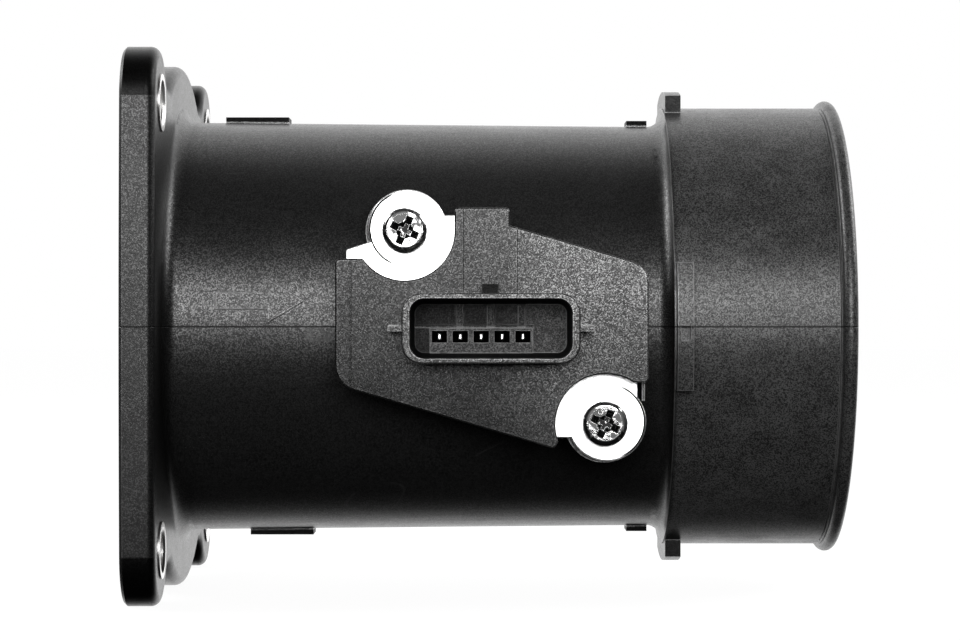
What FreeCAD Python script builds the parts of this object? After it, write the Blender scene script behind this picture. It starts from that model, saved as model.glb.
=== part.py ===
import FreeCAD
import Part
import math
import os

# Mass airflow sensor: a moulded duct with a four-bolt flange at one end and a hose spigot at
# the other, and a plug-in measuring module that hangs through the side wall into the air.
# X runs along the duct axis from the flange face (X = 0) to the hose end, the module and its
# connector point to -Y, and +Z is up. All sizes are in millimetres.

# Duct
BORE_R = 34.0
DUCT_WALL = 3.4
DUCT_DRAFT = math.radians(0.52)
SPIGOT_FLARE = 2.9
SPIGOT_WALL = 3.1
SHOULDER_X = 93.4
SHOULDER_COVE_R = 2.6
BORE_STEP_BEFORE_SHOULDER = 3.0
BORE_STEP_LENGTH = 4.0
DUCT_LENGTH = 124.6
BEAD_WIDTH = 2.5
BEAD_HEIGHT = 1.3
BEAD_CREASE_DEPTH = 0.25
BEAD_CREASE_WIDTH = 0.5
MOUTH_CHAMFER = 1.0

# Flange
FLANGE_T = 6.0
EAR_WALL = 4.6
FLANGE_SIDE_BOW = 0.7
FLANGE_BACK_ROUND = 1.6
FLANGE_FRONT_CHAMFER = 0.5
FLANGE_ROOT_R = 2.6
BOLT_SPACING_Y = 77.4
BOLT_SPACING_Z = 76.2
EAR_NOTCH_R = 7.0

# Steel bushes in the flange holes
BUSH_OUTER_R = 4.9
BUSH_HOLE_R = 3.5
BUSH_PROUD = 0.3
BUSH_CHAMFER = 0.4

# Rubber ring in the flange face
SEAL_LAND = 3.6
SEAL_WIDTH = 2.6
SEAL_GROOVE_DEPTH = 2.0
SEAL_CHAMFER = 0.5

# Wire screen in the duct's mouth, held by a spring ring
SCREEN_SEAT_STEP = 1.6
SCREEN_SEAT_DEPTH = 5.0
SCREEN_FRAME_WIDTH = 1.5
SCREEN_FRAME_T = 2.4
SCREEN_WIRE_D = 0.5
SCREEN_PITCH = 4.4
SPRING_RING_W = 1.4
SPRING_RING_GAP = 7.0

# Raised pads left on the duct by the mould: a long one near the flange and a short one that
# ends near the shoulder, above and below
PAD_HEIGHT = 0.9
PAD_WIDTH = 7.0
LONG_PAD_LENGTH = 11.5
LONG_PAD_ABOVE_X = 13.8
LONG_PAD_BELOW_X = 18.3
SHORT_PAD_LENGTH = 3.7
SHORT_PAD_TO_SHOULDER = 2.6

# Four stop lugs at the shoulder
LUG_COUNT = 4
LUG_SETBACK = 0.3
LUG_T = 2.8
LUG_WIDTH = 21.8
LUG_HEIGHT = 3.0
LUG_POCKET_X = 1.5
LUG_POCKET_Z = 2.4
LUG_POCKET_DEPTH = 1.2

# Module: its place on the duct, by its socket, and the outline of its cover as seen from -Y.
# Its pieces are placed from the socket's middle along X and from the seat along Y.
SEAT_OVER_BORE = 6.0
SOCKET_TO_SHOULDER = 31.3
SOCKET_Z = -0.3
COVER_BEFORE_SOCKET = 26.1
COVER_PAST_SOCKET = 26.5
COVER_TOP_LEFT_Z = 11.4
TAB_PAST_SOCKET = 3.2
TAB_TOP_Z = 20.0
TAB_STEP = 3.0
COVER_BOTTOM_RIGHT_Z = -9.4
COVER_SLOPE = math.radians(16.3)
FOOT_PAST_SOCKET = 10.7
COVER_FOOT_Z = -20.5
COVER_FOOT_ANGLE = math.radians(20)
COVER_CORNER_R = 4.4
COVER_SMALL_R = 0.8
COVER_T = 4.0
COVER_BEVEL = 0.25
PLATFORM_INSET = 0.9
LOCATOR_WIDTH = 0.55
LOCATOR_INSET = 0.4
LOCATOR_LOW_Z = -12.6

# Screws that hold the module, at two opposite corners
UPPER_SCREW_BEFORE_SOCKET = 14.5
UPPER_SCREW_Z = 16.2
LOWER_SCREW_PAST_SOCKET = 19.3
LOWER_SCREW_Z = -16.4
SCREW_TURNS = (66.0, 246.0)
SCREW_RELIEF_R = 8.45
SCREW_SHANK_R = 2.0
SCREW_LENGTH = 12.0
SCREW_HEAD_R = 3.8
SCREW_HEAD_H = 2.6
SCREW_HEAD_ROUND = 0.9
SCREW_HEAD_OVER_SHANK = 0.9
SCREW_HOLE_CLEARANCE = 0.25
CROSS_R = 2.5
CROSS_FLOOR_R = 1.2
CROSS_W = 1.25
CROSS_FLOOR_W = 0.8
CROSS_DEPTH = 1.9
CROSS_CONE_R = 1.45
DOT_R = 0.42
DOT_DEPTH = 0.25
DOT_FROM_MIDDLE = 2.25
DOT_ANGLE = 225.0
INSERT_R = 3.1
INSERT_LENGTH = 8.5
SCREW_BOSS_R = 6.75
SCREW_BOSS_DEPTH = 12.5

# Metal base plate under the cover
BASE_T = 2.0
BASE_EAR_R = 6.65
BASE_EAR_SHIFT_X = 0.4
BASE_EAR_SHIFT_Z = 0.3
BASE_INSET = 1.6
BASE_HORN_Z = 13.0
BASE_WING_Z = 18.8
BASE_TOE_Z = -18.8
BASE_HEEL = 2.3
BASE_CORNER_R = 0.4

# Connector shroud and socket
SHROUD_H = 12.0
SHROUD_LENGTH = 29.3
SHROUD_HEIGHT = 11.6
SHROUD_CORNER_R = 3.3
SHROUD_RIM_WALL_X = 1.3
SHROUD_RIM_WALL_Z = 0.85
SHROUD_FLOOR_WALL_X = 1.9
SHROUD_FLOOR_WALL_Z = 1.7
SHROUD_RIM_ROUND = 0.3
RIB_LENGTH = 2.4
RIB_T = 1.0
RIB_H = 8.5
LATCH_BEFORE_SOCKET = 0.1
LATCH_WIDTH = 2.8
LATCH_OUT = 1.6
LATCH_START = 6.0
LATCH_CREST = 3.0
LATCH_END = 1.5
KEY_SLOT_DEPTH = 2.0
KEY_SLOT_W = 1.2
KEY_SLOT_COUNT = 3
KEY_SLOT_PITCH = 5.2
KEY_LINE_Z = 0.0
KEY_LINE_W = 0.5
KEY_LINE_DEPTH = 1.0
BOSS_CLEARANCE = 0.3

# Contact pins and their cells
PIN_COUNT = 5
PIN_PITCH = 3.5
FIRST_PIN_BEFORE_SOCKET = 8.6
PIN_Z = -1.7
PIN_W = 0.64
PIN_HEIGHT = 1.1
PIN_TIP_BELOW_FLOOR = 0.6
PIN_TIP_CHAMFER = 0.18
PIN_PAST_SEAT = 8.0
CELL_W = 2.55
CELL_H = 1.95
CELL_DEPTH = 4.7
TERMINAL_BLOCK_H = 1.0
TERMINAL_BLOCK_MARGIN = 1.65

# Probe body that hangs in the duct
PROBE_BEFORE_SOCKET = 12.4
PROBE_PAST_SOCKET = 9.2
PROBE_BACK_Z = 3.2
PROBE_FRONT_Z = -8.2
PROBE_END_Y = 6.0
PROBE_NOSE_R = 4.0
PROBE_END_ROUND = 1.5
COLLAR_T = 2.0
COLLAR_MARGIN = 3.4
COLLAR_CORNER_R = 5.0
FIT_CLEARANCE = 0.2
PASSAGE_R = 4.1
PASSAGE_Y = 0.0
PASSAGE_MOUTH = 1.0
POCKET_PAST_SEAT = 5.0
POCKET_BOTTOM_Y = -12.5
POCKET_SIDE_WALL = 1.6
LID_T = 1.2
LID_LAP = 0.7

# Seal round the probe, in a groove of the duct's platform
PROBE_SEAL_W = 1.8
PROBE_SEAL_DEPTH = 1.5
PROBE_SEAL_GAP = 0.5

# Circuit board and what it carries, placed from the socket along X and from the pins' inner end
BOARD_T = 0.8
BOARD_MARGIN = 0.5
CHIP_SIZE = 6.0
CHIP_T = 1.1
CHIP_BEFORE_SOCKET = 3.7
CHIP_PAST_PINS = 9.5
TRIM_SIZE = (3.0, 1.6, 0.6)
TRIM_COUNT = 3
TRIM_PAST_SOCKET = 3.4
TRIM_PAST_PINS = 11.8
TRIM_PITCH = 3.0
CAPACITOR_SIZE = (2.0, 3.2, 1.2)
CAPACITORS_BEFORE_SOCKET = (7.5, 0.1)
CAPACITOR_PAST_PINS = 4.2
GEL_DEPTH = 2.6

# Sensing elements in the passage
POST_R = 0.35
POST_SPREAD_Z = 3.4
POST_INTO_POCKET = 0.4
HOT_WIRE_BEFORE_SOCKET = 4.1
COLD_WIRE_PAST_SOCKET = 1.4
ELEMENT_R = 0.45
ELEMENT_COAT_LENGTH = 2.0
ELEMENT_LEAD_R = 0.12
POST_PAST_ELEMENT = 0.3
AIR_SENSOR_Y = -12.5
AIR_SENSOR_REACH = 4.0
AIR_SENSOR_BEAD_R = 1.3
AIR_SENSOR_BEAD_LENGTH = 3.4
AIR_SENSOR_BEAD_CHAMFER = 0.5
AIR_SENSOR_LEAD_R = 0.25
AIR_SENSOR_LEAD_SPREAD = 1.0
AIR_SENSOR_EMBED = 1.0

# Values worked out from the sizes above. The disc ends level with the ears, above and below.
EAR_R = BUSH_OUTER_R + EAR_WALL
FLANGE_DISC_R = BOLT_SPACING_Z / 2 + EAR_R
FLANGE_SIDE_Y = BOLT_SPACING_Y / 2 + EAR_R + FLANGE_SIDE_BOW
SPIGOT_BORE_R = BORE_R + SPIGOT_FLARE
SEAT_BORE_R = BORE_R + SCREEN_SEAT_STEP
SEAL_GROOVE_R = SEAT_BORE_R + SEAL_LAND + SEAL_WIDTH / 2
DUCT_OUTER_R = BORE_R + DUCT_WALL
SPIGOT_R = SPIGOT_BORE_R + SPIGOT_WALL
BORE_STEP_START_X = SHOULDER_X - BORE_STEP_BEFORE_SHOULDER
LUG_X = SHOULDER_X + LUG_SETBACK
SHORT_PAD_X = SHOULDER_X - SHORT_PAD_TO_SHOULDER - SHORT_PAD_LENGTH
PADS_ABOVE = ((LONG_PAD_ABOVE_X, LONG_PAD_LENGTH), (SHORT_PAD_X, SHORT_PAD_LENGTH))
PADS_BELOW = ((LONG_PAD_BELOW_X, LONG_PAD_LENGTH), (SHORT_PAD_X, SHORT_PAD_LENGTH))
DUCT_OUTER_R_AT_SHOULDER = DUCT_OUTER_R - (SHOULDER_X - FLANGE_T) * math.tan(DUCT_DRAFT)
SOCKET_X = SHOULDER_X - SOCKET_TO_SHOULDER
COVER_LEFT = SOCKET_X - COVER_BEFORE_SOCKET
COVER_RIGHT = SOCKET_X + COVER_PAST_SOCKET
TAB_RIGHT = SOCKET_X + TAB_PAST_SOCKET
COVER_FOOT_X = SOCKET_X + FOOT_PAST_SOCKET
SCREW_UPPER = (SOCKET_X - UPPER_SCREW_BEFORE_SOCKET, UPPER_SCREW_Z)
SCREW_LOWER = (SOCKET_X + LOWER_SCREW_PAST_SOCKET, LOWER_SCREW_Z)
SCREWS = (SCREW_UPPER, SCREW_LOWER)
LATCH_X = SOCKET_X - LATCH_BEFORE_SOCKET
PIN_XS = tuple(SOCKET_X - FIRST_PIN_BEFORE_SOCKET + i * PIN_PITCH for i in range(PIN_COUNT))
PROBE_LEFT = SOCKET_X - PROBE_BEFORE_SOCKET
PROBE_RIGHT = SOCKET_X + PROBE_PAST_SOCKET
HOT_WIRE_X = SOCKET_X - HOT_WIRE_BEFORE_SOCKET
COLD_WIRE_X = SOCKET_X + COLD_WIRE_PAST_SOCKET
MODULE_SEAT_Y = -(BORE_R + SEAT_OVER_BORE)
PIN_INNER_Y = MODULE_SEAT_Y + PIN_PAST_SEAT
POCKET_TOP_Y = MODULE_SEAT_Y + POCKET_PAST_SEAT
BASE_TOP_Y = MODULE_SEAT_Y - BASE_T
COVER_TOP_Y = BASE_TOP_Y - COVER_T
SHROUD_RIM_Y = COVER_TOP_Y - SHROUD_H
COLLAR_Y = MODULE_SEAT_Y + COLLAR_T
PROBE_MID_X = (PROBE_LEFT + PROBE_RIGHT) / 2
PROBE_MID_Z = (PROBE_BACK_Z + PROBE_FRONT_Z) / 2
PROBE_LENGTH_X = PROBE_RIGHT - PROBE_LEFT
PROBE_LENGTH_Z = PROBE_BACK_Z - PROBE_FRONT_Z
PIN_LOW_Z = PIN_Z - PIN_HEIGHT / 2
PIN_HIGH_Z = PIN_Z + PIN_HEIGHT / 2
BOARD_FACE_Z = PIN_HIGH_Z
LID_INNER_Z = PROBE_FRONT_Z + LID_T
POST_TOP_Y = POCKET_BOTTOM_Y - POST_INTO_POCKET
OVERCUT = 1.0

V = FreeCAD.Vector
X_AXIS = V(1, 0, 0)
Y_AXIS = V(0, 1, 0)
Z_AXIS = V(0, 0, 1)
ORIGIN = V(0, 0, 0)


def block(x0, x1, y0, y1, z0, z1):
    """A box between two corners."""
    return Part.makeBox(x1 - x0, y1 - y0, z1 - z0, V(x0, y0, z0))


def rod_x(x0, x1, radius, y=0.0, z=0.0):
    return Part.makeCylinder(radius, x1 - x0, V(x0, y, z), X_AXIS)


def rod_y(y0, y1, radius, x, z):
    return Part.makeCylinder(radius, y1 - y0, V(x, y0, z), Y_AXIS)


def ring_x(x0, x1, outer_r, inner_r):
    return rod_x(x0, x1, outer_r).cut(rod_x(x0 - OVERCUT, x1 + OVERCUT, inner_r))


def turned(profile):
    """A solid of revolution about X from (x, r) points; a point (x, r, 'arc') is passed by an arc."""
    edges = []
    closed = list(profile) + [profile[0]]
    i = 0
    while i < len(closed) - 1:
        start = V(closed[i][0], 0, closed[i][1])
        step = 2 if len(closed[i + 1]) == 3 else 1
        end = V(closed[i + step][0], 0, closed[i + step][1])
        if step == 2:
            edges.append(Part.Arc(start, V(closed[i + 1][0], 0, closed[i + 1][1]), end).toShape())
        else:
            edges.append(Part.makeLine(start, end))
        i += step
    return Part.Face(Part.Wire(edges)).revolve(ORIGIN, X_AXIS, 360)


def rounded_outline(corners, y):
    """A closed wire in the XZ plane at y through (x, z, radius) corners.

    Radius 0 keeps a corner sharp. None marks a point that an arc passes between its neighbours.
    """
    count = len(corners)
    turns = []
    for i, (x, z, radius) in enumerate(corners):
        here = V(x, y, z)
        if not radius:
            turns.append((here, None, here))
            continue
        after = corners[(i + 1) % count]
        to_before = (V(corners[i - 1][0], y, corners[i - 1][1]) - here).normalize()
        to_after = (V(after[0], y, after[1]) - here).normalize()
        half_angle = to_before.getAngle(to_after) / 2
        reach = radius / math.tan(half_angle)
        depth = radius / math.sin(half_angle) - radius
        middle = here + (to_before + to_after).normalize() * depth
        turns.append((here + to_before * reach, middle, here + to_after * reach))
    edges = []
    for i, (start, middle, end) in enumerate(turns):
        if corners[i][2] is None:
            continue
        if middle is not None:
            edges.append(Part.Arc(start, middle, end).toShape())
        following = turns[(i + 1) % count][0]
        if corners[(i + 1) % count][2] is None:
            beyond = turns[(i + 2) % count][0]
            edges.append(Part.Arc(end, following, beyond).toShape())
        else:
            edges.append(Part.makeLine(end, following))
    return Part.Wire(edges)


def slab(corners, y0, y1):
    """A plate between y0 and y1 with a rounded outline."""
    return Part.Face(rounded_outline(corners, y0)).extrude(V(0, y1 - y0, 0))


def rounded_rectangle(mid_x, mid_z, length, height, radius):
    return [
        (mid_x - length / 2, mid_z - height / 2, radius),
        (mid_x + length / 2, mid_z - height / 2, radius),
        (mid_x + length / 2, mid_z + height / 2, radius),
        (mid_x - length / 2, mid_z + height / 2, radius),
    ]


def edges_at(shape, test):
    """The edges whose both ends and middle pass the test."""
    chosen = []
    for edge in shape.Edges:
        middle = edge.valueAt((edge.FirstParameter + edge.LastParameter) / 2)
        points = [vertex.Point for vertex in edge.Vertexes] + [middle]
        if all(test(point) for point in points):
            chosen.append(edge)
    return chosen


def near(value, target):
    return abs(value - target) < 0.01


def as_one(shapes):
    """One fused solid with its seams removed."""
    first = shapes[0]
    return first.multiFuse(list(shapes[1:])).removeSplitter()


def flange_outline():
    """The flange: a disc, four ears and gently bowed sides, joined by tangent arcs."""
    ear_y = BOLT_SPACING_Y / 2
    ear_z = BOLT_SPACING_Z / 2
    # The notch arc touches the disc and the ear from outside
    far = math.hypot(ear_y, ear_z)
    disc_reach = FLANGE_DISC_R + EAR_NOTCH_R
    ear_reach = EAR_R + EAR_NOTCH_R
    along = (far**2 + disc_reach**2 - ear_reach**2) / (2 * far)
    across = math.sqrt(disc_reach**2 - along**2)
    notch_y = (ear_y * along - ear_z * across) / far
    notch_z = (ear_z * along + ear_y * across) / far
    # The side arc touches the ear from inside and passes the side at z = 0
    offset = ear_y - FLANGE_SIDE_Y
    bow_r = (EAR_R**2 - offset**2 - ear_z**2) / (2 * (offset + EAR_R))
    bow_y = FLANGE_SIDE_Y - bow_r

    def towards(from_y, from_z, to_y, to_z, reach):
        length = math.hypot(to_y - from_y, to_z - from_z)
        return (from_y + (to_y - from_y) * reach / length, from_z + (to_z - from_z) * reach / length)

    disc_end = towards(0, 0, notch_y, notch_z, FLANGE_DISC_R)
    notch_end = towards(ear_y, ear_z, notch_y, notch_z, EAR_R)
    middle_of_notch = towards(notch_y, notch_z, (disc_end[0] + notch_end[0]) / 2,
                              (disc_end[1] + notch_end[1]) / 2, EAR_NOTCH_R)
    ear_end = towards(bow_y, 0, ear_y, ear_z, bow_r)
    ear_middle = towards(0, 0, ear_y, ear_z, far + EAR_R)
    bow_half = math.atan2(ear_end[1], ear_end[0] - bow_y) / 2
    bow_middle = (bow_y + bow_r * math.cos(bow_half), bow_r * math.sin(bow_half))
    disc_half = math.atan2(disc_end[0], disc_end[1]) / 2
    disc_middle = (FLANGE_DISC_R * math.sin(disc_half), FLANGE_DISC_R * math.cos(disc_half))
    quarter = (
        ((0, FLANGE_DISC_R), disc_middle, disc_end),
        (disc_end, middle_of_notch, notch_end),
        (notch_end, ear_middle, ear_end),
        (ear_end, bow_middle, (FLANGE_SIDE_Y, 0)),
    )
    edges = []
    for sign_y in (1, -1):
        for sign_z in (1, -1):
            for arc in quarter:
                points = [V(0, sign_y * y, sign_z * z) for y, z in arc]
                edges.append(Part.Arc(*points).toShape())
    return Part.Wire(Part.__sortEdges__(edges))


def bolt_places():
    return [(sy * BOLT_SPACING_Y / 2, sz * BOLT_SPACING_Z / 2) for sy in (1, -1) for sz in (1, -1)]


def flange():
    plate = Part.Face(flange_outline()).extrude(V(FLANGE_T, 0, 0))
    back = edges_at(plate, lambda p: near(p.x, FLANGE_T))
    plate = plate.makeFillet(FLANGE_BACK_ROUND, back)
    front = edges_at(plate, lambda p: near(p.x, 0))
    return plate.makeChamfer(FLANGE_FRONT_CHAMFER, front)


def duct_shell():
    """The turned form of the duct: tube with draft, coved shoulder, spigot and end bead."""
    root_r = FLANGE_ROOT_R
    corner = root_r * (1 - math.sqrt(0.5))
    cove = SHOULDER_COVE_R
    cove_corner = cove * math.sqrt(0.5)
    bead_x = DUCT_LENGTH - BEAD_WIDTH
    crown_r = SPIGOT_R + BEAD_HEIGHT
    crease_mid = bead_x - BEAD_CREASE_WIDTH / 2
    outer_at_root = DUCT_OUTER_R - root_r * math.tan(DUCT_DRAFT)
    return turned([
        (FLANGE_T / 2, BORE_R - OVERCUT),
        (FLANGE_T / 2, DUCT_OUTER_R + root_r),
        (FLANGE_T, DUCT_OUTER_R + root_r),
        (FLANGE_T + corner, DUCT_OUTER_R + corner, "arc"),
        (FLANGE_T + root_r, outer_at_root),
        (SHOULDER_X - cove, DUCT_OUTER_R_AT_SHOULDER),
        (SHOULDER_X - cove + cove_corner, DUCT_OUTER_R_AT_SHOULDER + cove - cove_corner, "arc"),
        (SHOULDER_X, DUCT_OUTER_R_AT_SHOULDER + cove),
        (SHOULDER_X, SPIGOT_R),
        (bead_x - BEAD_CREASE_WIDTH, SPIGOT_R),
        (crease_mid, SPIGOT_R - BEAD_CREASE_DEPTH),
        (bead_x, SPIGOT_R),
        (bead_x + BEAD_WIDTH / 2, crown_r, "arc"),
        (DUCT_LENGTH, SPIGOT_R),
        (DUCT_LENGTH, SPIGOT_BORE_R + MOUTH_CHAMFER),
        (DUCT_LENGTH - MOUTH_CHAMFER, SPIGOT_BORE_R),
        (BORE_STEP_START_X + BORE_STEP_LENGTH, SPIGOT_BORE_R),
        (BORE_STEP_START_X, BORE_R),
        (BORE_STEP_START_X, BORE_R - OVERCUT),
    ])


def pads():
    """Small raised pads on the top and bottom of the duct, left by the mould."""
    made = []
    for places, sign in ((PADS_ABOVE, 1), (PADS_BELOW, -1)):
        for start, length in places:
            top_z = DUCT_OUTER_R - (start - FLANGE_T) * math.tan(DUCT_DRAFT) + PAD_HEIGHT
            root_z = BORE_R + DUCT_WALL / 2
            low = min(sign * root_z, sign * top_z)
            high = max(sign * root_z, sign * top_z)
            made.append(block(start, start + length, -PAD_WIDTH / 2, PAD_WIDTH / 2, low, high))
    return made


def stop_lugs():
    """Lugs that stop the hose, evenly spaced, the one in front with a small pocket."""
    made = []
    middle_r = SPIGOT_BORE_R + SPIGOT_WALL / 2
    ring = ring_x(LUG_X, LUG_X + LUG_T, SPIGOT_R + LUG_HEIGHT, middle_r)
    for i in range(LUG_COUNT):
        slice_box = block(LUG_X, LUG_X + LUG_T, -LUG_WIDTH / 2, LUG_WIDTH / 2,
                          0, SPIGOT_R + LUG_HEIGHT)
        slice_box.rotate(ORIGIN, X_AXIS, i * 360 / LUG_COUNT)
        made.append(ring.common(slice_box))
    return made


def lug_pocket():
    face_y = -(SPIGOT_R + LUG_HEIGHT)
    middle_x = LUG_X + LUG_T / 2
    return block(middle_x - LUG_POCKET_X / 2, middle_x + LUG_POCKET_X / 2,
                 face_y - OVERCUT, face_y + LUG_POCKET_DEPTH, -LUG_POCKET_Z, 0)


def slope_z(x_from, z_from, x):
    """Height at x of a line through a point, falling with the cover's slope."""
    return z_from - (x - x_from) * math.tan(COVER_SLOPE)


def cover_corners(inset):
    """The cover's outline as seen from -Y, with a concave arc round each screw."""
    left = COVER_LEFT + inset
    right = COVER_RIGHT - inset
    fall = inset / math.cos(COVER_SLOPE)
    relief = SCREW_RELIEF_R + inset
    upper_x, upper_z = SCREW_UPPER
    lower_x, lower_z = SCREW_LOWER
    top_z = COVER_TOP_LEFT_Z - inset
    low_z = COVER_BOTTOM_RIGHT_Z + inset
    step_z = TAB_TOP_Z - TAB_STEP
    tab_right = TAB_RIGHT - inset
    foot_x = COVER_FOOT_X - inset
    foot_arc_x = lower_x - relief * math.cos(COVER_FOOT_ANGLE)
    foot_arc_z = lower_z - relief * math.sin(COVER_FOOT_ANGLE)
    diagonal = relief * math.sqrt(0.5)
    return [
        (left, top_z, COVER_SMALL_R),
        (upper_x - math.sqrt(relief**2 - (upper_z - top_z)**2), top_z, 0),
        (upper_x + diagonal, upper_z - diagonal, None),
        (upper_x + relief, upper_z, 0),
        (upper_x + relief, TAB_TOP_Z - inset, COVER_SMALL_R),
        (tab_right, TAB_TOP_Z - inset, COVER_SMALL_R),
        (tab_right, slope_z(TAB_RIGHT, step_z, tab_right) - fall, 0),
        (right, slope_z(TAB_RIGHT, step_z, right) - fall, COVER_CORNER_R),
        (right, low_z, COVER_SMALL_R),
        (lower_x + math.sqrt(relief**2 - (low_z - lower_z)**2), low_z, 0),
        (lower_x - diagonal, lower_z + diagonal, None),
        (foot_arc_x, foot_arc_z, 0),
        (foot_x, slope_z(COVER_FOOT_X, COVER_FOOT_Z, foot_x) + fall, COVER_SMALL_R),
        (left, slope_z(COVER_FOOT_X, COVER_FOOT_Z, left) + fall, COVER_CORNER_R),
    ]


def platform():
    """The flat seat that grows out of the round duct under the module, with two screw bosses."""
    inside_wall = rod_x(0, DUCT_LENGTH, BORE_R + DUCT_WALL / 2)
    grown = [slab(cover_corners(PLATFORM_INSET), MODULE_SEAT_Y, 0)]
    for x, z in SCREWS:
        grown.append(rod_y(MODULE_SEAT_Y, MODULE_SEAT_Y + SCREW_BOSS_DEPTH, SCREW_BOSS_R, x, z))
    locator_right = COVER_RIGHT - LOCATOR_INSET
    grown.append(block(locator_right - LOCATOR_WIDTH, locator_right, BASE_TOP_Y, 0, LOCATOR_LOW_Z,
                       COVER_BOTTOM_RIGHT_Z + COVER_CORNER_R))
    return [piece.cut(inside_wall) for piece in grown]


def collar_corners(grow):
    return rounded_rectangle(PROBE_MID_X, PROBE_MID_Z, PROBE_LENGTH_X + 2 * (COLLAR_MARGIN + grow),
                             PROBE_LENGTH_Z + 2 * (COLLAR_MARGIN + grow), COLLAR_CORNER_R + grow)


def probe_corners(grow):
    return rounded_rectangle(PROBE_MID_X, PROBE_MID_Z, PROBE_LENGTH_X + 2 * grow,
                             PROBE_LENGTH_Z + 2 * grow, PROBE_NOSE_R + grow)


def duct_housing():
    """The one-piece moulded duct with its flange, lugs, pads and module seat."""
    body = as_one([duct_shell(), flange()] + pads() + stop_lugs() + platform())
    body = body.cut(rod_x(-OVERCUT, BORE_STEP_START_X + OVERCUT, BORE_R))
    cuts = [rod_x(-OVERCUT, SCREEN_SEAT_DEPTH, SEAT_BORE_R), lug_pocket()]
    for y, z in bolt_places():
        cuts.append(rod_x(-OVERCUT, FLANGE_T + OVERCUT, BUSH_OUTER_R, y, z))
    cuts.append(ring_x(-OVERCUT, SEAL_GROOVE_DEPTH, SEAL_GROOVE_R + SEAL_WIDTH / 2,
                       SEAL_GROOVE_R - SEAL_WIDTH / 2))
    cuts.append(slab(collar_corners(FIT_CLEARANCE), MODULE_SEAT_Y - OVERCUT, COLLAR_Y))
    cuts.append(slab(probe_corners(FIT_CLEARANCE), COLLAR_Y - OVERCUT, -BORE_R / 2))
    cuts.append(probe_seal_ring(COLLAR_Y - OVERCUT))
    for x, z in SCREWS:
        cuts.append(rod_y(MODULE_SEAT_Y - OVERCUT, MODULE_SEAT_Y + INSERT_LENGTH, INSERT_R, x, z))
    return body.cut(Part.makeCompound(cuts)).removeSplitter()


def probe_seal_ring(y0):
    inner = PROBE_SEAL_GAP
    outer = PROBE_SEAL_GAP + PROBE_SEAL_W
    y1 = COLLAR_Y + PROBE_SEAL_DEPTH
    return slab(probe_corners(outer), y0, y1).cut(
        slab(probe_corners(inner), y0 - OVERCUT, y1 + OVERCUT))


def flange_bushes():
    made = []
    for y, z in bolt_places():
        bush = rod_x(0, FLANGE_T + BUSH_PROUD, BUSH_OUTER_R, y, z)
        bush = bush.cut(rod_x(-OVERCUT, FLANGE_T + OVERCUT, BUSH_HOLE_R, y, z))
        rims = edges_at(bush, lambda p: near(p.x, FLANGE_T + BUSH_PROUD)
                        and near(math.hypot(p.y - y, p.z - z), BUSH_HOLE_R))
        made.append(bush.makeChamfer(BUSH_CHAMFER, rims))
    return Part.makeCompound(made)


def flange_seal():
    """The rubber ring as it sits when bolted down, level with the flange face."""
    ring = ring_x(0, SEAL_GROOVE_DEPTH, SEAL_GROOVE_R + SEAL_WIDTH / 2, SEAL_GROOVE_R - SEAL_WIDTH / 2)
    rims = edges_at(ring, lambda p: near(p.x, 0))
    return ring.makeChamfer(SEAL_CHAMFER, rims)


def screen_frame():
    """The plastic rim of the screen, against the step in the duct's mouth."""
    outer = SEAT_BORE_R - FIT_CLEARANCE
    frame = ring_x(SCREEN_SEAT_DEPTH - SCREEN_FRAME_T, SCREEN_SEAT_DEPTH, outer,
                   outer - SCREEN_FRAME_WIDTH)
    slots = ring_x(screen_x(), screen_x() + 2 * SCREEN_WIRE_D, outer - SCREEN_FRAME_WIDTH / 2,
                   BORE_R / 2)
    return frame.cut(slots)


def screen_x():
    return SCREEN_SEAT_DEPTH - SCREEN_FRAME_T / 2 - SCREEN_WIRE_D


def inlet_screen():
    """Two layers of crossed wires that touch, with their ends in the rim's groove."""
    reach = SEAT_BORE_R - FIT_CLEARANCE - SCREEN_FRAME_WIDTH / 2
    count = int(reach / SCREEN_PITCH)
    wires = []
    for i in range(-count, count + 1):
        place = i * SCREEN_PITCH
        half = math.sqrt(reach**2 - (abs(place) + SCREEN_WIRE_D / 2)**2)
        upright_x = screen_x() + SCREEN_WIRE_D / 2
        level_x = upright_x + SCREEN_WIRE_D
        wires.append(Part.makeCylinder(SCREEN_WIRE_D / 2, 2 * half, V(upright_x, place, -half), Z_AXIS))
        wires.append(Part.makeCylinder(SCREEN_WIRE_D / 2, 2 * half, V(level_x, -half, place), Y_AXIS))
    return Part.makeCompound(wires)


def spring_ring():
    """An open ring of square wire that snaps in front of the screen and holds it."""
    back_x = SCREEN_SEAT_DEPTH - SCREEN_FRAME_T
    ring = ring_x(back_x - SPRING_RING_W, back_x, SEAT_BORE_R, SEAT_BORE_R - SPRING_RING_W)
    gap = block(0, SCREEN_SEAT_DEPTH, -SPRING_RING_GAP / 2, SPRING_RING_GAP / 2, -SEAT_BORE_R - OVERCUT, 0)
    return ring.cut(gap)


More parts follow.
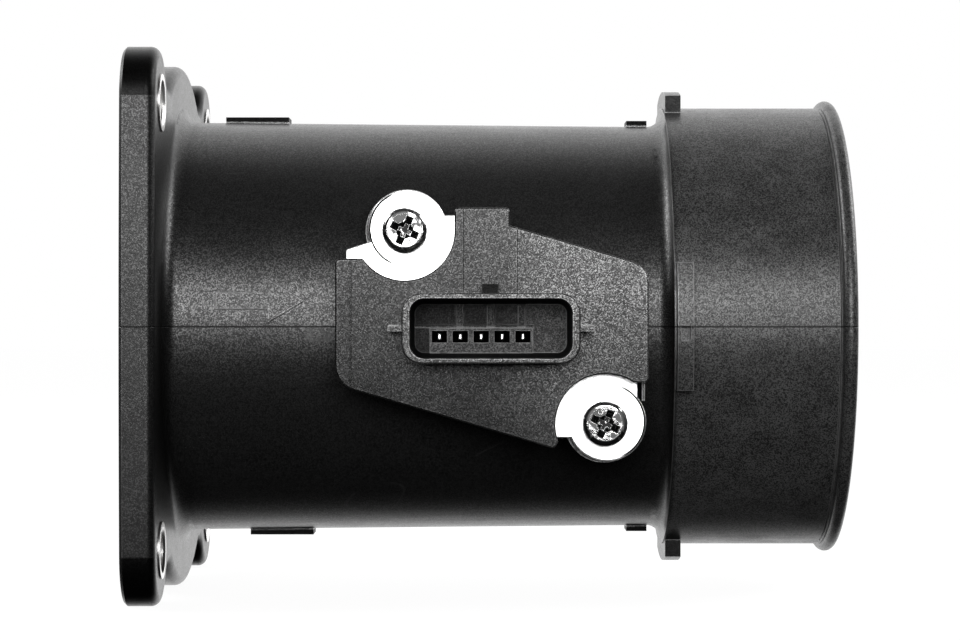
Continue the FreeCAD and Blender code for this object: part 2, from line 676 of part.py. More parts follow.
def base_plate():
    """The metal plate: an ear round each screw and a body that hides under the cover."""
    upper_x, upper_z = SCREW_UPPER
    lower_x, lower_z = SCREW_LOWER
    left = COVER_LEFT + BASE_INSET
    right = COVER_RIGHT - BASE_INSET
    tab_right = TAB_RIGHT - BASE_INSET
    fall = BASE_INSET / math.cos(COVER_SLOPE)
    step_z = TAB_TOP_Z - TAB_STEP
    outline = [
        (left, BASE_HORN_Z, BASE_CORNER_R),
        (upper_x, upper_z, 0),
        (upper_x, BASE_WING_Z, 0),
        (tab_right, BASE_WING_Z, BASE_CORNER_R),
        (tab_right, slope_z(TAB_RIGHT, step_z, tab_right) - fall, 0),
        (right, slope_z(TAB_RIGHT, step_z, right) - fall, COVER_CORNER_R),
        (right, lower_z + BASE_HEEL, 0),
        (lower_x, lower_z, 0),
        (lower_x, BASE_TOE_Z, 0),
        (COVER_FOOT_X, BASE_TOE_Z, BASE_CORNER_R),
        (left, slope_z(COVER_FOOT_X, BASE_TOE_Z, left), COVER_CORNER_R),
    ]
    parts = [slab(outline, BASE_TOP_Y, MODULE_SEAT_Y)]
    for x, z in SCREWS:
        parts.append(rod_y(BASE_TOP_Y, MODULE_SEAT_Y, BASE_EAR_R, x + BASE_EAR_SHIFT_X,
                           z + BASE_EAR_SHIFT_Z))
    plate = as_one(parts)
    holes = [slab(boss_corners(BOSS_CLEARANCE), BASE_TOP_Y - OVERCUT, MODULE_SEAT_Y + OVERCUT)]
    for x, z in SCREWS:
        holes.append(rod_y(BASE_TOP_Y - OVERCUT, MODULE_SEAT_Y + OVERCUT,
                           SCREW_SHANK_R + SCREW_HOLE_CLEARANCE, x, z))
    return plate.cut(Part.makeCompound(holes))


def boss_corners(grow):
    """The foot of the socket that goes down through the window of the base plate."""
    return rounded_rectangle(SOCKET_X, SOCKET_Z, SHROUD_LENGTH + 2 * grow, SHROUD_HEIGHT + 2 * grow,
                             SHROUD_CORNER_R + grow)


def socket_cavity():
    """The drafted hollow of the shroud, wider at the rim than at the floor."""
    rim = rounded_outline(
        rounded_rectangle(SOCKET_X, SOCKET_Z, SHROUD_LENGTH - 2 * SHROUD_RIM_WALL_X,
                          SHROUD_HEIGHT - 2 * SHROUD_RIM_WALL_Z, SHROUD_CORNER_R - SHROUD_RIM_WALL_Z),
        SHROUD_RIM_Y)
    floor = rounded_outline(socket_floor_corners(), COVER_TOP_Y)
    return Part.makeLoft([rim, floor], True, True)


def socket_floor_corners():
    return rounded_rectangle(SOCKET_X, SOCKET_Z, SHROUD_LENGTH - 2 * SHROUD_FLOOR_WALL_X,
                             SHROUD_HEIGHT - 2 * SHROUD_FLOOR_WALL_Z,
                             SHROUD_CORNER_R - SHROUD_FLOOR_WALL_Z)


def key_slots():
    """Slots between the keying blocks of the socket floor, and the groove above the pin cells."""
    bottom = COVER_TOP_Y + KEY_SLOT_DEPTH
    top_z = SOCKET_Z + SHROUD_HEIGHT / 2 - SHROUD_FLOOR_WALL_Z
    slots = []
    for i in range(KEY_SLOT_COUNT):
        x = SOCKET_X + (i - (KEY_SLOT_COUNT - 1) / 2) * KEY_SLOT_PITCH
        slots.append(block(x - KEY_SLOT_W / 2, x + KEY_SLOT_W / 2, COVER_TOP_Y - OVERCUT, bottom,
                           KEY_LINE_Z, top_z))
    line_left = SOCKET_X - SHROUD_LENGTH / 2 + SHROUD_FLOOR_WALL_X
    slots.append(block(line_left, PIN_XS[-1] + PIN_PITCH / 2, COVER_TOP_Y - OVERCUT,
                       COVER_TOP_Y + KEY_LINE_DEPTH, KEY_LINE_Z - KEY_LINE_W / 2,
                       KEY_LINE_Z + KEY_LINE_W / 2))
    return slots


def module_cover():
    """The plastic cover with its connector shroud, keyed socket floor and pin cells."""
    plate = slab(cover_corners(0), COVER_TOP_Y, BASE_TOP_Y)
    rim = edges_at(plate, lambda p: near(p.y, COVER_TOP_Y))
    plate = plate.makeChamfer(COVER_BEVEL, rim)
    shroud = slab(boss_corners(0), SHROUD_RIM_Y, MODULE_SEAT_Y)
    rim = edges_at(shroud, lambda p: near(p.y, SHROUD_RIM_Y))
    shroud = shroud.makeFillet(SHROUD_RIM_ROUND, rim)
    half = SHROUD_LENGTH / 2
    inner = half - SHROUD_RIM_WALL_X / 2
    ribs = []
    for side in (-1, 1):
        low = SOCKET_X + min(side * inner, side * (half + RIB_LENGTH))
        high = SOCKET_X + max(side * inner, side * (half + RIB_LENGTH))
        ribs.append(block(low, high, COVER_TOP_Y - RIB_H, COVER_TOP_Y + COVER_T / 2,
                          SOCKET_Z - RIB_T / 2, SOCKET_Z + RIB_T / 2))
    top_z = SOCKET_Z + SHROUD_HEIGHT / 2
    root_z = top_z - SHROUD_RIM_WALL_Z / 2
    side = [
        (LATCH_START, root_z),
        (LATCH_START, top_z),
        (LATCH_CREST, top_z + LATCH_OUT),
        (LATCH_END, top_z + LATCH_OUT),
        (LATCH_END, root_z),
        (LATCH_START, root_z),
    ]
    points = [V(LATCH_X - LATCH_WIDTH / 2, COVER_TOP_Y - out, z) for out, z in side]
    wedge = Part.Face(Part.makePolygon(points)).extrude(V(LATCH_WIDTH, 0, 0))
    body = as_one([plate, shroud, wedge] + ribs).cut(socket_cavity())
    block_top_y = COVER_TOP_Y - TERMINAL_BLOCK_H
    terminal_block = block(PIN_XS[0] - TERMINAL_BLOCK_MARGIN, PIN_XS[-1] + TERMINAL_BLOCK_MARGIN,
                           block_top_y, COVER_TOP_Y + TERMINAL_BLOCK_H,
                           SOCKET_Z - SHROUD_HEIGHT / 2 + SHROUD_RIM_WALL_Z, KEY_LINE_Z - KEY_LINE_W / 2)
    cuts = key_slots()
    for x in PIN_XS:
        cuts.append(block(x - CELL_W / 2, x + CELL_W / 2, block_top_y - OVERCUT,
                          COVER_TOP_Y + CELL_DEPTH, PIN_Z - CELL_H / 2, PIN_Z + CELL_H / 2))
        cuts.append(block(x - PIN_W / 2, x + PIN_W / 2, COVER_TOP_Y, MODULE_SEAT_Y + OVERCUT,
                          PIN_LOW_Z, PIN_HIGH_Z))
    return as_one([body, terminal_block]).cut(Part.makeCompound(cuts))


def contact_pin(x):
    """A flat pin from its cell in the socket down to its pad on the board."""
    tip_y = COVER_TOP_Y + PIN_TIP_BELOW_FLOOR
    pin = block(x - PIN_W / 2, x + PIN_W / 2, tip_y, PIN_INNER_Y, PIN_LOW_Z, PIN_HIGH_Z)
    tip = edges_at(pin, lambda p: near(p.y, tip_y))
    return pin.makeChamfer(PIN_TIP_CHAMFER, tip)


def cross_recess(x, z, top_y, turn):
    """A tapered cross with a conical middle, and the dot that marks its kind beside it."""
    # The tool starts above the head, wider by the same taper
    spread = 1 + OVERCUT / CROSS_DEPTH
    long_r = CROSS_FLOOR_R + (CROSS_R - CROSS_FLOOR_R) * spread
    wide = (CROSS_FLOOR_W + (CROSS_W - CROSS_FLOOR_W) * spread) / 2
    narrow = CROSS_FLOOR_W / 2
    tools = []
    for angle in (turn, turn + 90):
        wing = Part.makeWedge(-long_r, -OVERCUT, -wide, -narrow, -CROSS_FLOOR_R,
                              long_r, CROSS_DEPTH, wide, narrow, CROSS_FLOOR_R)
        wing.rotate(ORIGIN, Y_AXIS, -angle)
        wing.translate(V(x, top_y, z))
        tools.append(wing)
    tools.append(Part.makeCone(CROSS_CONE_R, narrow, CROSS_DEPTH, V(x, top_y, z), Y_AXIS))
    dot_angle = math.radians(turn + DOT_ANGLE)
    tools.append(rod_y(top_y - OVERCUT, top_y + DOT_DEPTH, DOT_R, x + DOT_FROM_MIDDLE * math.cos(dot_angle),
                       z + DOT_FROM_MIDDLE * math.sin(dot_angle)))
    return Part.makeCompound(tools)


def cover_screws():
    made = []
    head_y = BASE_TOP_Y - SCREW_HEAD_H
    for (x, z), turn in zip(SCREWS, SCREW_TURNS):
        head = rod_y(head_y, BASE_TOP_Y, SCREW_HEAD_R, x, z)
        crown = edges_at(head, lambda p: near(p.y, head_y))
        head = head.makeFillet(SCREW_HEAD_ROUND, crown)
        shank = rod_y(BASE_TOP_Y - SCREW_HEAD_OVER_SHANK, BASE_TOP_Y + SCREW_LENGTH - SCREW_HEAD_H,
                      SCREW_SHANK_R, x, z)
        made.append(as_one([head, shank]).cut(cross_recess(x, z, head_y, turn)))
    return Part.makeCompound(made)


def thread_inserts():
    made = []
    for x, z in SCREWS:
        insert = rod_y(MODULE_SEAT_Y, MODULE_SEAT_Y + INSERT_LENGTH, INSERT_R, x, z)
        made.append(insert.cut(rod_y(MODULE_SEAT_Y - OVERCUT, MODULE_SEAT_Y + INSERT_LENGTH + OVERCUT,
                                     SCREW_SHANK_R, x, z)))
    return Part.makeCompound(made)


def pocket_box(y0, y1, z0, z1, grow):
    return block(PROBE_LEFT + POCKET_SIDE_WALL - grow, PROBE_RIGHT - POCKET_SIDE_WALL + grow,
                 y0 - grow, y1 + grow, z0, z1)


def probe_body():
    """The moulded body in the air stream: collar, board pocket and measuring passage."""
    stem = slab(probe_corners(0), MODULE_SEAT_Y, PROBE_END_Y)
    end = edges_at(stem, lambda p: near(p.y, PROBE_END_Y))
    stem = stem.makeFillet(PROBE_END_ROUND, end)
    collar = slab(collar_corners(0), MODULE_SEAT_Y, COLLAR_Y)
    body = as_one([stem, collar])
    mouth_r = PASSAGE_R + PASSAGE_MOUTH
    cuts = [
        rod_x(PROBE_LEFT - OVERCUT, PROBE_RIGHT + OVERCUT, PASSAGE_R, PASSAGE_Y, PROBE_MID_Z),
        Part.makeCone(mouth_r, PASSAGE_R, PASSAGE_MOUTH, V(PROBE_LEFT, PASSAGE_Y, PROBE_MID_Z), X_AXIS),
        pocket_box(POCKET_TOP_Y, POCKET_BOTTOM_Y, LID_INNER_Z - OVERCUT, BOARD_FACE_Z + BOARD_T, 0),
        pocket_box(POCKET_TOP_Y, POCKET_BOTTOM_Y, PROBE_FRONT_Z - OVERCUT, LID_INNER_Z, LID_LAP),
    ]
    for x in PIN_XS:
        cuts.append(block(x - PIN_W / 2, x + PIN_W / 2, MODULE_SEAT_Y - OVERCUT,
                          POCKET_TOP_Y + OVERCUT, PIN_LOW_Z, PIN_HIGH_Z))
    for x, z in post_places():
        cuts.append(rod_y(POST_TOP_Y, PASSAGE_Y, POST_R, x, z))
    for z in air_lead_heights():
        cuts.append(rod_x(PROBE_LEFT - OVERCUT, PROBE_LEFT + AIR_SENSOR_EMBED, AIR_SENSOR_LEAD_R,
                          AIR_SENSOR_Y, z))
    return body.cut(Part.makeCompound(cuts)).removeSplitter()


def probe_lid():
    """The lid of the board pocket, rounded off with the nose and tail of the probe."""
    lid = pocket_box(POCKET_TOP_Y, POCKET_BOTTOM_Y, PROBE_FRONT_Z, LID_INNER_Z,
                     LID_LAP - FIT_CLEARANCE / 2)
    return lid.common(slab(probe_corners(0), MODULE_SEAT_Y, PROBE_END_Y))


def board_box(z0, z1):
    return block(PROBE_LEFT + POCKET_SIDE_WALL + BOARD_MARGIN, PROBE_RIGHT - POCKET_SIDE_WALL - BOARD_MARGIN,
                 POCKET_TOP_Y + BOARD_MARGIN, POCKET_BOTTOM_Y - BOARD_MARGIN, z0, z1)


def circuit_board():
    return board_box(BOARD_FACE_Z, BOARD_FACE_Z + BOARD_T)


def on_board(size, x, past_pins):
    length, width, height = size
    y = PIN_INNER_Y + past_pins
    return block(x - length / 2, x + length / 2, y - width / 2, y + width / 2,
                 BOARD_FACE_Z - height, BOARD_FACE_Z)


def control_chip():
    return on_board((CHIP_SIZE, CHIP_SIZE, CHIP_T), SOCKET_X - CHIP_BEFORE_SOCKET, CHIP_PAST_PINS)


def trim_resistors():
    x = SOCKET_X + TRIM_PAST_SOCKET
    return Part.makeCompound([on_board(TRIM_SIZE, x, TRIM_PAST_PINS - i * TRIM_PITCH)
                              for i in range(TRIM_COUNT)])


def capacitors():
    return Part.makeCompound([on_board(CAPACITOR_SIZE, SOCKET_X - before, CAPACITOR_PAST_PINS)
                              for before in CAPACITORS_BEFORE_SOCKET])


def post_places():
    """Two posts for each element, one behind the other across the flow."""
    half = POST_SPREAD_Z / 2
    return [(x, PROBE_MID_Z + side * half) for x in (HOT_WIRE_X, COLD_WIRE_X) for side in (1, -1)]


def element_posts():
    end_y = PASSAGE_Y + POST_R + POST_PAST_ELEMENT
    return Part.makeCompound([rod_y(POST_TOP_Y, end_y, POST_R, x, z) for x, z in post_places()])


def sensing_element(x):
    """A coated former on two fine leads, stretched between its posts."""
    gap = POST_SPREAD_Z / 2 - POST_R
    lead = Part.makeCylinder(ELEMENT_LEAD_R, 2 * gap, V(x, PASSAGE_Y, PROBE_MID_Z - gap), Z_AXIS)
    coat = Part.makeCylinder(ELEMENT_R, ELEMENT_COAT_LENGTH,
                             V(x, PASSAGE_Y, PROBE_MID_Z - ELEMENT_COAT_LENGTH / 2), Z_AXIS)
    return as_one([lead, coat])


def air_lead_heights():
    half = AIR_SENSOR_LEAD_SPREAD / 2
    return (PROBE_MID_Z - half, PROBE_MID_Z + half)


def air_temperature_sensor():
    """A bead thermistor on two stiff leads, upstream of the probe."""
    bead_start = PROBE_LEFT - AIR_SENSOR_REACH - AIR_SENSOR_BEAD_LENGTH
    bead_end = bead_start + AIR_SENSOR_BEAD_LENGTH
    bead = rod_x(bead_start, bead_end, AIR_SENSOR_BEAD_R, AIR_SENSOR_Y, PROBE_MID_Z)
    rims = edges_at(bead, lambda p: near(p.x, bead_start)) + edges_at(bead, lambda p: near(p.x, bead_end))
    parts = [bead.makeChamfer(AIR_SENSOR_BEAD_CHAMFER, rims)]
    for z in air_lead_heights():
        parts.append(rod_x(bead_end - AIR_SENSOR_EMBED, PROBE_LEFT + AIR_SENSOR_EMBED, AIR_SENSOR_LEAD_R,
                           AIR_SENSOR_Y, z))
    return as_one(parts)


def potting_gel():
    """Soft clear gel over the board, poured round the parts that stand on it."""
    gel = pocket_box(POCKET_TOP_Y, POCKET_BOTTOM_Y, BOARD_FACE_Z - GEL_DEPTH, BOARD_FACE_Z + BOARD_T, 0)
    inside = [circuit_board(), control_chip(), trim_resistors(), capacitors(), element_posts()]
    inside += [contact_pin(x) for x in PIN_XS]
    return gel.cut(Part.makeCompound(inside))


def build():
    pieces = {
        "duct_housing": duct_housing(),
        "flange_bushes": flange_bushes(),
        "flange_seal": flange_seal(),
        "screen_frame": screen_frame(),
        "inlet_screen": inlet_screen(),
        "spring_ring": spring_ring(),
        "base_plate": base_plate(),
        "module_cover": module_cover(),
        "cover_screws": cover_screws(),
        "thread_inserts": thread_inserts(),
        "probe_seal": probe_seal_ring(COLLAR_Y),
        "probe_body": probe_body(),
        "probe_lid": probe_lid(),
        "circuit_board": circuit_board(),
        "control_chip": control_chip(),
        "trim_resistors": trim_resistors(),
        "capacitors": capacitors(),
        "potting_gel": potting_gel(),
        "element_posts": element_posts(),
        "hot_wire": sensing_element(HOT_WIRE_X),
        "compensation_wire": sensing_element(COLD_WIRE_X),
        "air_temperature_sensor": air_temperature_sensor(),
    }
    for i, x in enumerate(PIN_XS):
        pieces[f"contact_pin_{i + 1}"] = contact_pin(x)
    return pieces


os.makedirs("parts", exist_ok=True)
for name, shape in build().items():
    shape.exportStep(f"parts/{name}.step")
    print(name, "solids", len(shape.Solids), "valid", shape.isValid(), "volume", round(shape.Volume, 1))
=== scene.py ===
import math

import bmesh
import bpy
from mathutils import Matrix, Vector


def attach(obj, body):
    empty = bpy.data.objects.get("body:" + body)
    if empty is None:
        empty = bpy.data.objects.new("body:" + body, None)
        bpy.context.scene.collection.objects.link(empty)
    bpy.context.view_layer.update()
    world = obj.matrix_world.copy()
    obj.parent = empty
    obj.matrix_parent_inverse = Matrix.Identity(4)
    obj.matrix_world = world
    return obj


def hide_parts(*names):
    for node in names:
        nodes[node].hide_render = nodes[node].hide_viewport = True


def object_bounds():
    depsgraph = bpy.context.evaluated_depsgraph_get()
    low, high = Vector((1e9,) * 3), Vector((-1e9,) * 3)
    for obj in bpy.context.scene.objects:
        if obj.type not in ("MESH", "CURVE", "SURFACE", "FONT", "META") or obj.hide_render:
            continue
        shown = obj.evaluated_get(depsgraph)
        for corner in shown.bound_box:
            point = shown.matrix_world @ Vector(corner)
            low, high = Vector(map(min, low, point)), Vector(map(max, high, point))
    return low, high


# Mass airflow sensor: a black moulded duct with a bolt flange and a hose spigot, and a plug-in
# module with a five-way socket. Lengths are in metres, and X runs along the duct from the flange.
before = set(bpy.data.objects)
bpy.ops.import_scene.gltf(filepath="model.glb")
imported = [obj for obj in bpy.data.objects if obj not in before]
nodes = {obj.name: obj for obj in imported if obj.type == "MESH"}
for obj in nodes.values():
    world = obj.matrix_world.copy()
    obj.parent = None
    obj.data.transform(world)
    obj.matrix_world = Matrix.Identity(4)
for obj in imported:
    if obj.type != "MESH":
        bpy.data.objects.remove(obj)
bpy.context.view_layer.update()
MM = 0.001


# Duct housing
# One moulding of black glass-filled plastic: flange, tube, shoulder, lugs and hose spigot. The
# mould's two halves meet level with the axis and leave a fine line on both sides.
class Value:
    """A number or colour that varies over a surface. Arithmetic on it adds Math nodes."""

    def __init__(self, shading, socket):
        self.shading = shading
        self.socket = socket

    def math(self, operation, *values):
        return self.shading.math(operation, *values)

    def __add__(self, other):
        return self.math("ADD", self, other)

    def __radd__(self, other):
        return self.math("ADD", other, self)

    def __sub__(self, other):
        return self.math("SUBTRACT", self, other)

    def __rsub__(self, other):
        return self.math("SUBTRACT", other, self)

    def __mul__(self, other):
        return self.math("MULTIPLY", self, other)

    def __rmul__(self, other):
        return self.math("MULTIPLY", other, self)

    def __truediv__(self, other):
        return self.math("DIVIDE", self, other)

    def __rtruediv__(self, other):
        return self.math("DIVIDE", other, self)

    def __abs__(self):
        return self.math("ABSOLUTE", self)

    def least(self, other):
        return self.math("MINIMUM", self, other)

    def most(self, other):
        return self.math("MAXIMUM", self, other)

    def root(self):
        return self.math("SQRT", self)

    def wave(self, length):
        """A cosine with the given length from crest to crest."""
        return self.math("COSINE", self * (2 * math.pi / length))

    def rise(self, low, high):
        """0 below low, 1 above high and smooth between them. It falls where high is the lower one."""
        settings = {"interpolation_type": "SMOOTHSTEP"}
        return self.shading.node("ShaderNodeMapRange", settings,
                                 {"Value": self, "From Min": low, "From Max": high})

    def near(self, middle, half_width, edge):
        """1 within half_width of middle, and 0 from edge beyond it."""
        return abs(self - middle).rise(half_width + edge, half_width)


class Shading:
    """A node tree that is written as expressions."""

    def __init__(self, tree):
        self.tree = tree

    def node(self, kind, settings, inputs, output=0):
        made = self.tree.nodes.new(kind)
        for key, setting in settings.items():
            setattr(made, key, setting)
        for key, value in inputs.items():
            self.feed(made.inputs[key], value)
        return Value(self, made.outputs[output])

    def math(self, operation, *values):
        return self.node("ShaderNodeMath", {"operation": operation}, dict(enumerate(values)))

    def feed(self, socket, value):
        if isinstance(value, Value):
            self.tree.links.new(value.socket, socket)
        else:
            socket.default_value = value

    def mix(self, share, first, second):
        """A blend of two colours. The Mix node holds its colour sockets at places 6 and 7."""
        colours = {0: share, 6: first, 7: second}
        return self.node("ShaderNodeMix", {"data_type": "RGBA"}, colours, 2)


class Finish(Shading):
    """A material with one Principled shader. Patterns are placed by object coordinates."""

    def __init__(self, name, **constants):
        self.material = bpy.data.materials.new(name)
        self.material.use_nodes = True
        super().__init__(self.material.node_tree)
        self.shader = self.tree.nodes["Principled BSDF"]
        self.set(**constants)
        self.point = self.node("ShaderNodeTexCoord", {}, {}, "Object")
        self.x, self.y, self.z = (self.node("ShaderNodeSeparateXYZ", {}, {0: self.point}, axis)
                                  for axis in "XYZ")

    def set(self, **sockets):
        """Sets or links the shader's sockets, with _ for each space in their names."""
        for name, value in sockets.items():
            self.feed(self.shader.inputs[name.replace("_", " ")], value)

    def noise(self, size, detail=2.0, rough=0.5, at=None):
        """Noise from 0 to 1 with lumps of about the given size."""
        return self.node("ShaderNodeTexNoise", {}, {"Vector": at or self.point, "Scale": 1 / size,
                                                    "Detail": detail, "Roughness": rough})

    def stretched(self, x, y, z):
        """The surface point with each axis scaled, for patterns that run along one of them."""
        return self.node("ShaderNodeMapping", {}, {"Vector": self.point, "Scale": (x, y, z)})

    def grains(self, size):
        """Packed grains of about the given size, each with a level of its own from 0 to 1."""
        return self.node("ShaderNodeTexVoronoi", {}, {"Vector": self.point, "Scale": 1 / size}, "Color")

    def hairlines(self, size, width, at=None):
        """Thin wandering lines, where a broad noise passes its middle."""
        return abs(self.noise(size, 1.0, 0.4, at) - 0.5).rise(width, 0.3 * width)

    def relief(self, height, depth, below=None):
        """A bump that is depth metres from height 0 to height 1."""
        inputs = {"Height": height, "Distance": depth, "Strength": 1.0}
        if below:
            inputs["Normal"] = below
        return self.node("ShaderNodeBump", {}, inputs)

    def eased_edges(self, radius):
        """The surface direction with every edge rounded off."""
        return self.node("ShaderNodeBevel", {"samples": 6}, {"Radius": radius})

    def edge_wear(self, eased):
        """1 on edges and 0 on faces, from how far the rounding turns the surface."""
        plain = self.node("ShaderNodeNewGeometry", {}, {}, "Normal")
        agreement = self.node("ShaderNodeVectorMath", {"operation": "DOT_PRODUCT"},
                              {0: eased, 1: plain}, "Value")
        return (1 - agreement).rise(0.006, 0.07)

    def from_pair(self, upper, lower):
        """Which of two places a point belongs to, and how far it is from that place.

        Each place starts with its x and z, and one is above the duct's axis and one below it. Gives
        0 for a point above and 1 for one below, how far the point is along X, and how far in all.
        """
        below = self.z.rise(0.1 * MM, -0.1 * MM)
        along = self.x - (upper[0] + below * (lower[0] - upper[0]))
        up = self.z - (upper[1] + below * (lower[1] - upper[1]))
        return below, along, (along * along + up * up).root()


def grey(level, warmth=0.0):
    """A grey that leans towards red and away from blue by the given share."""
    return (level * (1 + warmth), level, level * (1 - warmth), 1.0)


GRAIN, GRAIN_DEPTH = 0.3 * MM, 0.012 * MM
GLINT_SIZE = 0.6 * GRAIN
CLOUD_SIZE = 45 * GRAIN
FLOW_SIZE, FLOW_ALONG_X = 2.2 * GRAIN, 0.06
RUB_SIZE = 2 * MM
WORN_WIDTH, EASED_WIDTH = 0.34 * MM, 0.1 * MM
WORN_LIGHTER = 0.12


def moulded(name, level, glint_level, roughness, shine):
    """Glass-filled plastic: fine grain, cloudy flow marks, glinting fibre ends and rubbed edges."""
    finish = Finish(name, Specular_IOR_Level=shine)
    grain = finish.noise(GRAIN, 2.0, 0.7)
    cloud = finish.noise(CLOUD_SIZE, 4.0, 0.6)
    flow = finish.noise(FLOW_SIZE, 3.0, 0.6, finish.stretched(FLOW_ALONG_X, 1.0, 1.0))
    finish.glint = finish.grains(GLINT_SIZE).rise(0.1, 0.9) * (0.7 + 0.6 * cloud)
    on_edge = finish.edge_wear(finish.eased_edges(WORN_WIDTH))
    finish.wear = on_edge * finish.noise(RUB_SIZE, 3.0).rise(0.2, 0.5)
    finish.skin = finish.mix(finish.glint * finish.glint, grey(level), grey(glint_level))
    finish.skin = finish.mix(0.8 * finish.wear, finish.skin, grey(glint_level + WORN_LIGHTER))
    finish.matt = roughness + 0.3 * (grain - 0.5) + 0.12 * (cloud - 0.5) + 0.16 * (flow - 0.5)
    finish.grain = finish.relief(grain + 0.25 * flow, GRAIN_DEPTH, finish.eased_edges(EASED_WIDTH))
    finish.glint = finish.glint.most(0.7 * finish.wear)
    finish.set(Base_Color=finish.skin, Metallic=finish.glint, Roughness=finish.matt, Normal=finish.grain)
    return finish


def dress(node, finish):
    """Gives a carried-over solid its finish."""
    for slot in nodes[node].material_slots:
        slot.material = finish.material


SPIGOT_START = 93.4 * MM
FLANGE_BACK = 6.5 * MM
TUBE_R = 37.4 * MM
TUBE_START = 6.0 * MM
TUBE_DRAFT = math.tan(math.radians(0.52))
PAD_MIDDLE, PAD_HALF = 50 * MM, 42 * MM
DARK_ENDS_Y, DARK_ENDS_Z = 10.8 * MM, 38.6 * MM
PARTING_WIDTH = 0.16 * MM
GATE_X, GATE_Z = 33.0 * MM, -1.2 * MM
GATE_HALF_X, GATE_HALF_Z = 2.3 * MM, 1.2 * MM
housing = moulded("black_moulding", level=0.005, glint_level=0.08, roughness=0.36, shine=0.24)
seam = abs(housing.z + 0.05 * MM).rise(PARTING_WIDTH, 0.4 * PARTING_WIDTH)
swirl = housing.noise(6 * MM, 6.0, 0.7).rise(0.36, 0.7)
on_spigot = housing.x.rise(SPIGOT_START, SPIGOT_START + 1 * MM)
on_flange = housing.x.rise(FLANGE_BACK + 1 * MM, FLANGE_BACK)
# Painted shade: the pads, the outer ends of the lugs and of the flange's ears, and less strongly the
# flange, are painted nearly black
off_middle = abs(housing.z)
over_tube = off_middle - TUBE_R + (housing.x - TUBE_START) * TUBE_DRAFT
on_pads = over_tube.rise(0.1 * MM, 0.2 * MM) * housing.x.near(PAD_MIDDLE, PAD_HALF, 0.2 * MM)
on_ends = (off_middle.rise(DARK_ENDS_Z, DARK_ENDS_Z + 0.1 * MM)
           * abs(housing.y).rise(DARK_ENDS_Y - 0.2 * MM, DARK_ENDS_Y))
painted_shade = on_pads.most(0.9 * on_ends).most(0.4 * on_flange)
# The spigot is paler and mottled, and the tube has the gate's oval mark. A few hairlines cross both
paler = housing.mix(on_spigot * (0.3 + 0.7 * swirl) * housing.glint, housing.skin, grey(0.1))
scratch = housing.hairlines(34 * MM, 0.0022) * housing.noise(9 * MM).rise(0.5, 0.56)
paler = housing.mix(0.12 * scratch, paler, grey(0.16))
gate = (housing.x.near(GATE_X, GATE_HALF_X, 0.5 * MM) * housing.z.near(GATE_Z, GATE_HALF_Z, 0.4 * MM)
        * (0 - housing.y).rise(0.0, 10 * MM) * housing.noise(0.9 * MM, 3.0).rise(0.25, 0.6))
paler = housing.mix(0.5 * gate, paler, grey(0.075))
# The base colour and metallic below carry the painted shade of the pads, the lug and ear ends and the
# flange
housing.set(
    Base_Color=housing.mix((0.8 * seam).most(painted_shade), paler, grey(0.003)),
    Metallic=(housing.glint * (1 - 0.5 * on_spigot)).most(0.8 * on_pads.most(on_ends)),
    Roughness=housing.matt + on_spigot * (0.06 * swirl - 0.01) + 0.12 * gate + 0.2 * on_pads,
    Normal=housing.relief(1 - seam, 0.05 * MM, housing.grain),
)
dress("duct_housing", housing)

# Flow arrow
# The mould leaves a raised arrow on the tube that points with the air, towards the spigot. It is
# drawn flat and then wrapped round the tube, with its foot sunk in the wall.
ARROW_START, ARROW_END = 15.0 * MM, 30.4 * MM
ARROW_UP = 4.4 * MM
ARROW_SHAFT_HALF = 1.5 * MM
ARROW_HEAD_HALF = 3.9 * MM
ARROW_HEAD_LENGTH = 6.4 * MM
ARROW_HEIGHT = 0.4 * MM
ARROW_SUNK = 0.3 * MM
ARROW_EDGE = 0.12 * MM
ARROW_STRIP = 0.8 * MM


def piece_from(shape, name, finish, smooth_below=35):
    """A plain object from a bmesh, shaded smooth except across edges sharper than an angle."""
    mesh = bpy.data.meshes.new(name)
    shape.to_mesh(mesh)
    shape.free()
    mesh.shade_smooth()
    mesh.set_sharp_from_angle(angle=math.radians(smooth_below))
    mesh.materials.append(finish.material)
    piece = bpy.data.objects.new(name, mesh)
    bpy.context.scene.collection.objects.link(piece)
    return piece


neck = ARROW_END - ARROW_HEAD_LENGTH
arrow_outline = [
    (ARROW_START, -ARROW_SHAFT_HALF), (neck, -ARROW_SHAFT_HALF), (neck, -ARROW_HEAD_HALF), (ARROW_END, 0),
    (neck, ARROW_HEAD_HALF), (neck, ARROW_SHAFT_HALF), (ARROW_START, ARROW_SHAFT_HALF),
]
arrow = bmesh.new()
foot = arrow.faces.new([arrow.verts.new((x, s, -ARROW_SUNK)) for x, s in arrow_outline])
raised = bmesh.ops.extrude_face_region(arrow, geom=[foot])["geom"]
raised_verts = [part for part in raised if isinstance(part, bmesh.types.BMVert)]
bmesh.ops.translate(arrow, verts=raised_verts, vec=(0, 0, ARROW_SUNK + ARROW_HEIGHT))
bmesh.ops.recalc_face_normals(arrow, faces=arrow.faces)
rim = [edge for edge in arrow.edges if all(vert in raised_verts for vert in edge.verts)]
bmesh.ops.bevel(arrow, geom=rim, offset=ARROW_EDGE, segments=2, affect="EDGES")
for i in range(1, int(2 * ARROW_HEAD_HALF / ARROW_STRIP)):
    cut = (0, i * ARROW_STRIP - ARROW_HEAD_HALF, 0)
    bmesh.ops.bisect_plane(arrow, geom=arrow.verts[:] + arrow.edges[:] + arrow.faces[:],
                           plane_co=cut, plane_no=(0, 1, 0))
for vert in arrow.verts:
    x, along, height = vert.co
    radius = TUBE_R - (x - TUBE_START) * TUBE_DRAFT + height
    turn = (ARROW_UP + along) / TUBE_R
    vert.co = (x, -radius * math.cos(turn), radius * math.sin(turn))
bmesh.ops.recalc_face_normals(arrow, faces=arrow.faces)
flow_arrow = piece_from(arrow, "flow_arrow", housing)
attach(flow_arrow, "root")

